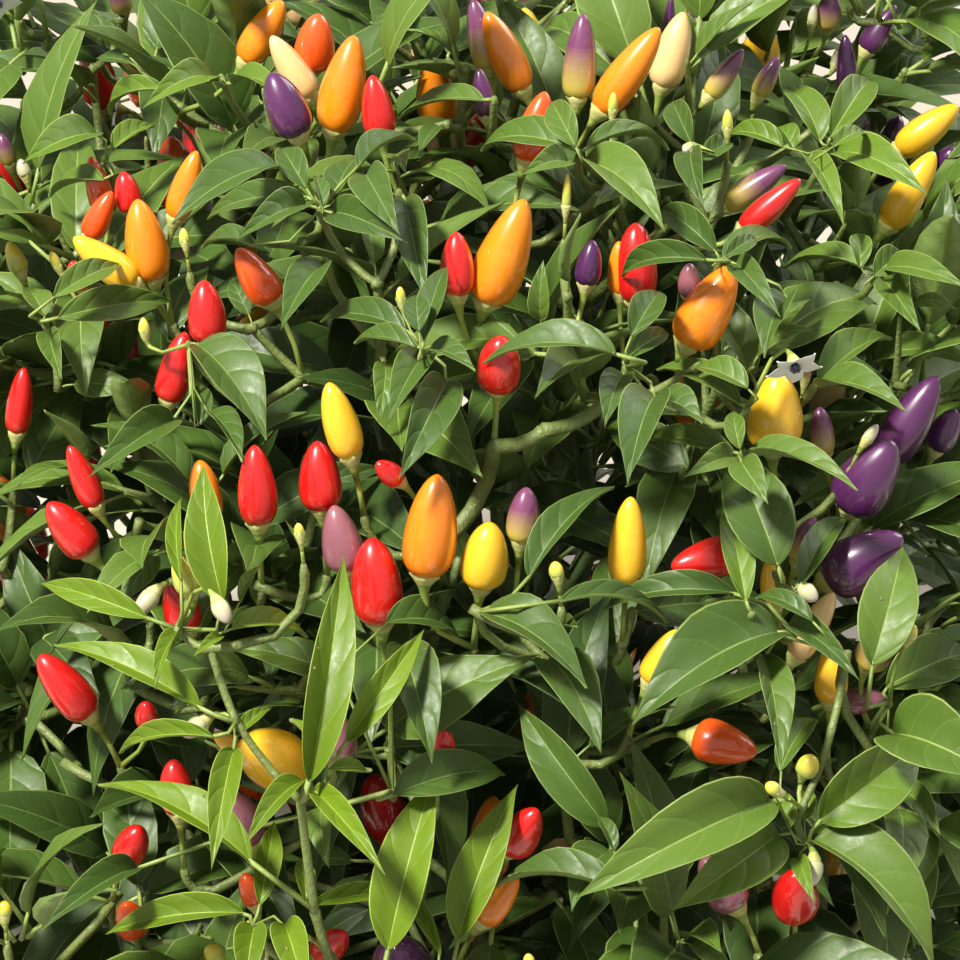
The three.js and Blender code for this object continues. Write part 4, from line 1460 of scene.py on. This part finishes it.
def blade_material(name, dark, light):
    """A leaf's upper face: its tone varies from leaf to leaf and in patches, with paler side
    veins, and its quilting and fine grain are a bump under a waxy sheen."""
    made, tree, shader = new_material(name)
    patches, grains = add_mottle(tree, 70)
    pattern = tree.nodes.new("ShaderNodeGroup")
    pattern.node_tree = veins
    tone = blended(tree, pattern.outputs["Tone"], dark, light)
    tone = blended(tree, ranged(tree, patches, 0, 0.35), tone, light)
    paler = tuple(c * 1.35 + 0.008 for c in light)
    crease = ranged(tree, pattern.outputs["Crease"], 0, 0.35)
    tree.links.new(blended(tree, crease, tone, paler), shader.inputs["Base Color"])
    tree.links.new(ranged(tree, grains, 0.40, 0.56), shader.inputs["Roughness"])
    shader.inputs["Specular IOR Level"].default_value = 0.42
    relief = tree.nodes.new("ShaderNodeMath")
    relief.operation = "MULTIPLY_ADD"
    relief.inputs[1].default_value = 0.12
    tree.links.new(grains, relief.inputs[0])
    tree.links.new(pattern.outputs["Swelling"], relief.inputs[2])
    embossed(tree, shader, relief.outputs[0], 0.0005, 0.45)
    return made


leaf_kinds = [  # a piece's name, whether it is in front, and its rows and sides
    ("front_leaves", True, front_shares, front_across, front_sunk, front_worn),
    ("leaves", False, leaf_shares, leaf_across, leaf_sunk, leaf_worn),
]
leaf_rib = tissue_material("leaf_rib", (0.18, 0.26, 0.05), (0.29, 0.37, 0.10))
# The underside is a paler green of its own, made paler still with painted light that stands in for light
# shining through the leaf.
underside = tissue_material("leaf_underside", (0.135, 0.210, 0.050), (0.190, 0.275, 0.074))
for tone, (dark, light, rib_dark, rib_light) in leaf_tones_and_painted_shade.items():
    blade = blade_material("leaf_" + tone, dark, light)
    rib = tissue_material("leaf_rib_" + tone, rib_dark, rib_light)
    slot = "fresh_leaf" if tone in ("young", "bright") else "leaf"
    for kind, is_front, shares, across, sunk, worn in leaf_kinds:
        of_tone = [leaf for leaf in leaves if leaf["tone"] == tone and leaf["front"] == is_front]
        for number, first in enumerate(range(0, len(of_tone), most_leaves_in_piece), 1):
            group = of_tone[first:first + most_leaves_in_piece]
            rings = blades(group, shares, across, sunk)
            rows, sides = len(shares), len(across)
            place = np.zeros((len(group), rows * sides + 2, 3))
            place[:, :-2, 0] = np.repeat(shares, sides)
            place[:, :-2, 1] = np.tile(across, rows)
            place[:, -1, 0] = 1
            place[:, :, 2] = gathered(group, "phase")[:, None] / 6.28
            make_piece(f"{kind}_{tone}_{number}", rings, blade_ends(group), [blade, rib, underside], slot,
                       worn, {"leaf_place": place})

leaf_stalk_shares = np.array([0.0, 0.5, 1.0])
leaf_stalk_thin = np.array([0.020, 0.015, 0.014])  # its radius there, as a share of the leaf's length
leaf_stalks = [axis_between(leaf["foot"], leaf["base"] + leaf["along"] * 0.001, leaf["along"])
               for leaf in leaves]
leaf_stalk_radius = gathered(leaves, "length")[:, None, None] * leaf_stalk_thin[:, None]
leaf_stalk_skins = skins(leaf_stalks, leaf_stalk_shares, leaf_stalk_radius, 4)
make_piece("leaf_stalks", *leaf_stalk_skins, [leaf_rib], "leaf_vein")

# The flowers: five pointed white petals that part round five blue-grey anthers and a pale style.
# They are fixed to the same cups as the fruit.
petal_length = 0.0088
petal_width = 0.0056
petal_lift = 0.35
petals = []
for number, flower in enumerate(flowers):
    draw = seeded_random(8100 + number)
    first_turn = 360 * draw()
    for i in range(5):
        out = square_to(flower["way"], first_turn + 72 * i + 6 * either(draw))
        along = unit(out + flower["way"] * (petal_lift + 0.15 * either(draw)))
        face = unit(flower["way"] - along * (flower["way"] @ along))
        petals.append({
            "base": flower["base"] + out * 0.0008 + flower["way"] * 0.0004,
            "along": along,
            "face": face,
            "side": np.cross(face, along),
            "length": petal_length * (1 + 0.1 * either(draw)),
            "width": petal_width * (1 + 0.1 * either(draw)),
            "droop": 0.7 + 0.4 * draw(),
            "fold": 0.25,
            "cup": 0.25,
            "twist": 0.3 * either(draw),
            "phase": 6.28 * draw(),
        })
petal_white = tissue_material("petal_white", (0.86, 0.88, 0.84), (0.95, 0.95, 0.93))
petal_rings = blades(petals, leaf_shares, leaf_across, leaf_sunk * 0.6)
make_piece("petals", petal_rings, blade_ends(petals), [petal_white], "petal")

anther_height = 0.0030
anther_apart = 0.0011
anther_radius = np.array([0.00015, 0.0002, 0.00055, 0.0006, 0.0004])
anther_at = np.array([0.0, 0.45, 0.55, 0.8, 0.97])
anther_sides = 6
style_radius = np.array([0.0003, 0.0002, 0.0004, 0.0002])
style_at = np.array([0.0, 0.7, 0.9, 0.98])
anthers, styles = [], []
for flower in flowers:
    for i in range(5):
        out = square_to(flower["way"], 72 * i + 36)
        start = flower["base"] + out * anther_apart * 0.4
        anthers.append(axis_of(start, unit(flower["way"] + out * 0.5), flower["way"], anther_height))
    styles.append(axis_of(flower["base"], flower["way"], flower["way"], anther_height * 1.15))
anther_grey = tissue_material("anther_grey", (0.08, 0.08, 0.16), (0.16, 0.16, 0.28))
anther_skins = skins(anthers, anther_at, anther_radius[None, :, None], anther_sides)
make_piece("anthers", *anther_skins, [anther_grey], "anther")
style_skins = skins(styles, style_at, style_radius[None, :, None], anther_sides)
make_piece("styles", *style_skins, [stalk_green], "fruit_stalk")

# The spots: small brown scars of dry cork on a few blades, each a low button that has grown on the
# leaf's face. They are given by pixels, and by how many pixels each is across.
spots_in_picture = [
    (113, 666, 4), (291, 662, 3), (291, 706, 3), (357, 812, 2.5), (205, 793, 2.5), (287, 948, 4),
    (766, 500, 2.5), (757, 634, 4), (590, 882, 3.5), (775, 723, 3), (310, 648, 2), (434, 645, 2),
    (901, 741, 3.5), (881, 600, 3),
]
spot_height = 0.00035
spot_sides = 10
fronts = [leaf for leaf in leaves if leaf["front"]]
spot_shares, spot_across = np.linspace(0.04, 0.96, 24), np.linspace(-0.9, 0.9, 13)
front_grid = blades(fronts, spot_shares, spot_across)
front_seen = in_picture(front_grid)
spots, spot_radius = [], []
for column, row, pixels in spots_in_picture:
    beside = np.linalg.norm(front_seen[..., :2] - (column, row), axis=-1) + 40 * front_seen[..., 2]
    which, s, v = np.unravel_index(np.argmin(beside), beside.shape)
    s, v = np.clip(s, 1, len(spot_shares) - 2), np.clip(v, 1, len(spot_across) - 2)
    grid = front_grid[which]
    normal = unit(np.cross(grid[s, v + 1] - grid[s, v - 1], grid[s + 1, v] - grid[s - 1, v]))
    normal = normal * np.sign(normal @ fronts[which]["face"])
    spots.append(axis_of(grid[s, v] - normal * spot_height * 0.6, normal, normal, spot_height))
    spot_radius.append(pixels * 0.5 * view_width / picture_side)
spot_brown = bark_material("spot_brown", (0.10, 0.05, 0.02), (0.22, 0.14, 0.06), (0.45, 0.38, 0.26), 0.8)
around = turns(spot_sides)
uneven = 1 + 0.15 * np.cos(3 * around) + 0.1 * np.sin(2 * around)
spot_skin_radius = np.array(spot_radius)[:, None, None] * np.array([0.9, 1.0, 0.55])[:, None] * uneven
spot_skins = skins(spots, np.array([0.1, 0.6, 0.95]), spot_skin_radius, spot_sides)
make_piece("leaf_spots", *spot_skins, [spot_brown], "old_bark")

# The bark of the twigs. It is green, thin and faintly three-sided, and swells a little where a twig
# forks. A side twig that bears neither leaf nor fruit is left out.
twig_sides = 9
twig_shares = np.array([-0.04, 0.1, 0.4, 0.7, 0.88, 0.97, 1.03])
twig_tip = 0.0006
twigs = [twig for twig in twigs if "side" not in twig or "leafy" in twig or "bears" in twig]
is_last = np.array([twig["is_tip"] and "bears" not in twig for twig in twigs])
thin = np.array([twig["thick"] - shown_thinning if "thick" in twig
                 else twig_radius[min(twig["level"] + 1, len(twig_radius) - 1)] for twig in twigs])
thin = np.where(is_last, twig_tip, thin)[:, None, None]
thick = np.array([twig.get("thick", twig_radius[twig["level"]]) for twig in twigs])[:, None, None]
share = twig_shares[None, :, None]
t = np.clip(share, 0, 1)
knuckle = 0.16 * np.exp(-((share - 0.96) / 0.06) ** 2) * (share < 1)
ridges = 0.07 * np.cos(3 * turns(twig_sides) + 2 * t)
rounded = np.where(share > 1, 0.6, 1.0)
twig_skin_radius = (thick + (thin - thick) * t) * (1 + knuckle + ridges) * rounded
twig_green = bark_material("twig_green", (0.10, 0.15, 0.028), (0.20, 0.27, 0.065), (0.16, 0.17, 0.07), 0.45)
twig_skins = skins(twigs, twig_shares, twig_skin_radius, twig_sides)
twigs_made = make_piece("twigs", *twig_skins, [twig_green], "green_bark")
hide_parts(*[mass["name"] for mass in masses])

# The stage: a plain pale floor under the plant, and soft studio light. The key light is at the
# upper left and near the eye, and a broader, dimmer one lights the back from the right.
floor_mesh = bpy.data.meshes.new("floor")
floor_half = 4.0
floor_mesh.from_pydata([(-floor_half, -floor_half, 0), (floor_half, -floor_half, 0),
                        (floor_half, floor_half, 0), (-floor_half, floor_half, 0)], [], [(0, 1, 2, 3)])
floor = bpy.data.objects.new("floor", floor_mesh)
bpy.context.collection.objects.link(floor)
floor_finish, _, shader = new_material("floor")
shader.inputs["Base Color"].default_value = (0.50, 0.45, 0.38, 1)
shader.inputs["Roughness"].default_value = 0.9
floor_mesh.materials.append(floor_finish)


def softbox(name, place, size, power, colour):
    """A square lamp that faces the crown."""
    lamp = bpy.data.lights.new(name, "AREA")
    lamp.shape = "SQUARE"
    lamp.size = size
    lamp.energy = power
    lamp.color = colour
    made = bpy.data.objects.new(name, lamp)
    made.location = place
    made.rotation_mode = "QUATERNION"
    from_crown = Vector(place) - Vector(view_middle)
    made.rotation_quaternion = from_crown.to_track_quat("Z", "Y")
    bpy.context.collection.objects.link(made)


softbox("key_light", (-1.05, -0.65, 2.4), 0.32, 128, (1.0, 0.96, 0.88))
softbox("fill_light", (1.7, 1.3, 1.5), 1.6, 36, (1.0, 0.99, 0.95))
world = bpy.data.worlds.new("studio")
world.use_nodes = True
background = world.node_tree.nodes["Background"]
background.inputs["Color"].default_value = (0.99, 0.98, 0.94, 1)
background.inputs["Strength"].default_value = 0.50
bpy.context.scene.world = world
bpy.context.scene.view_settings.view_transform = "Standard"
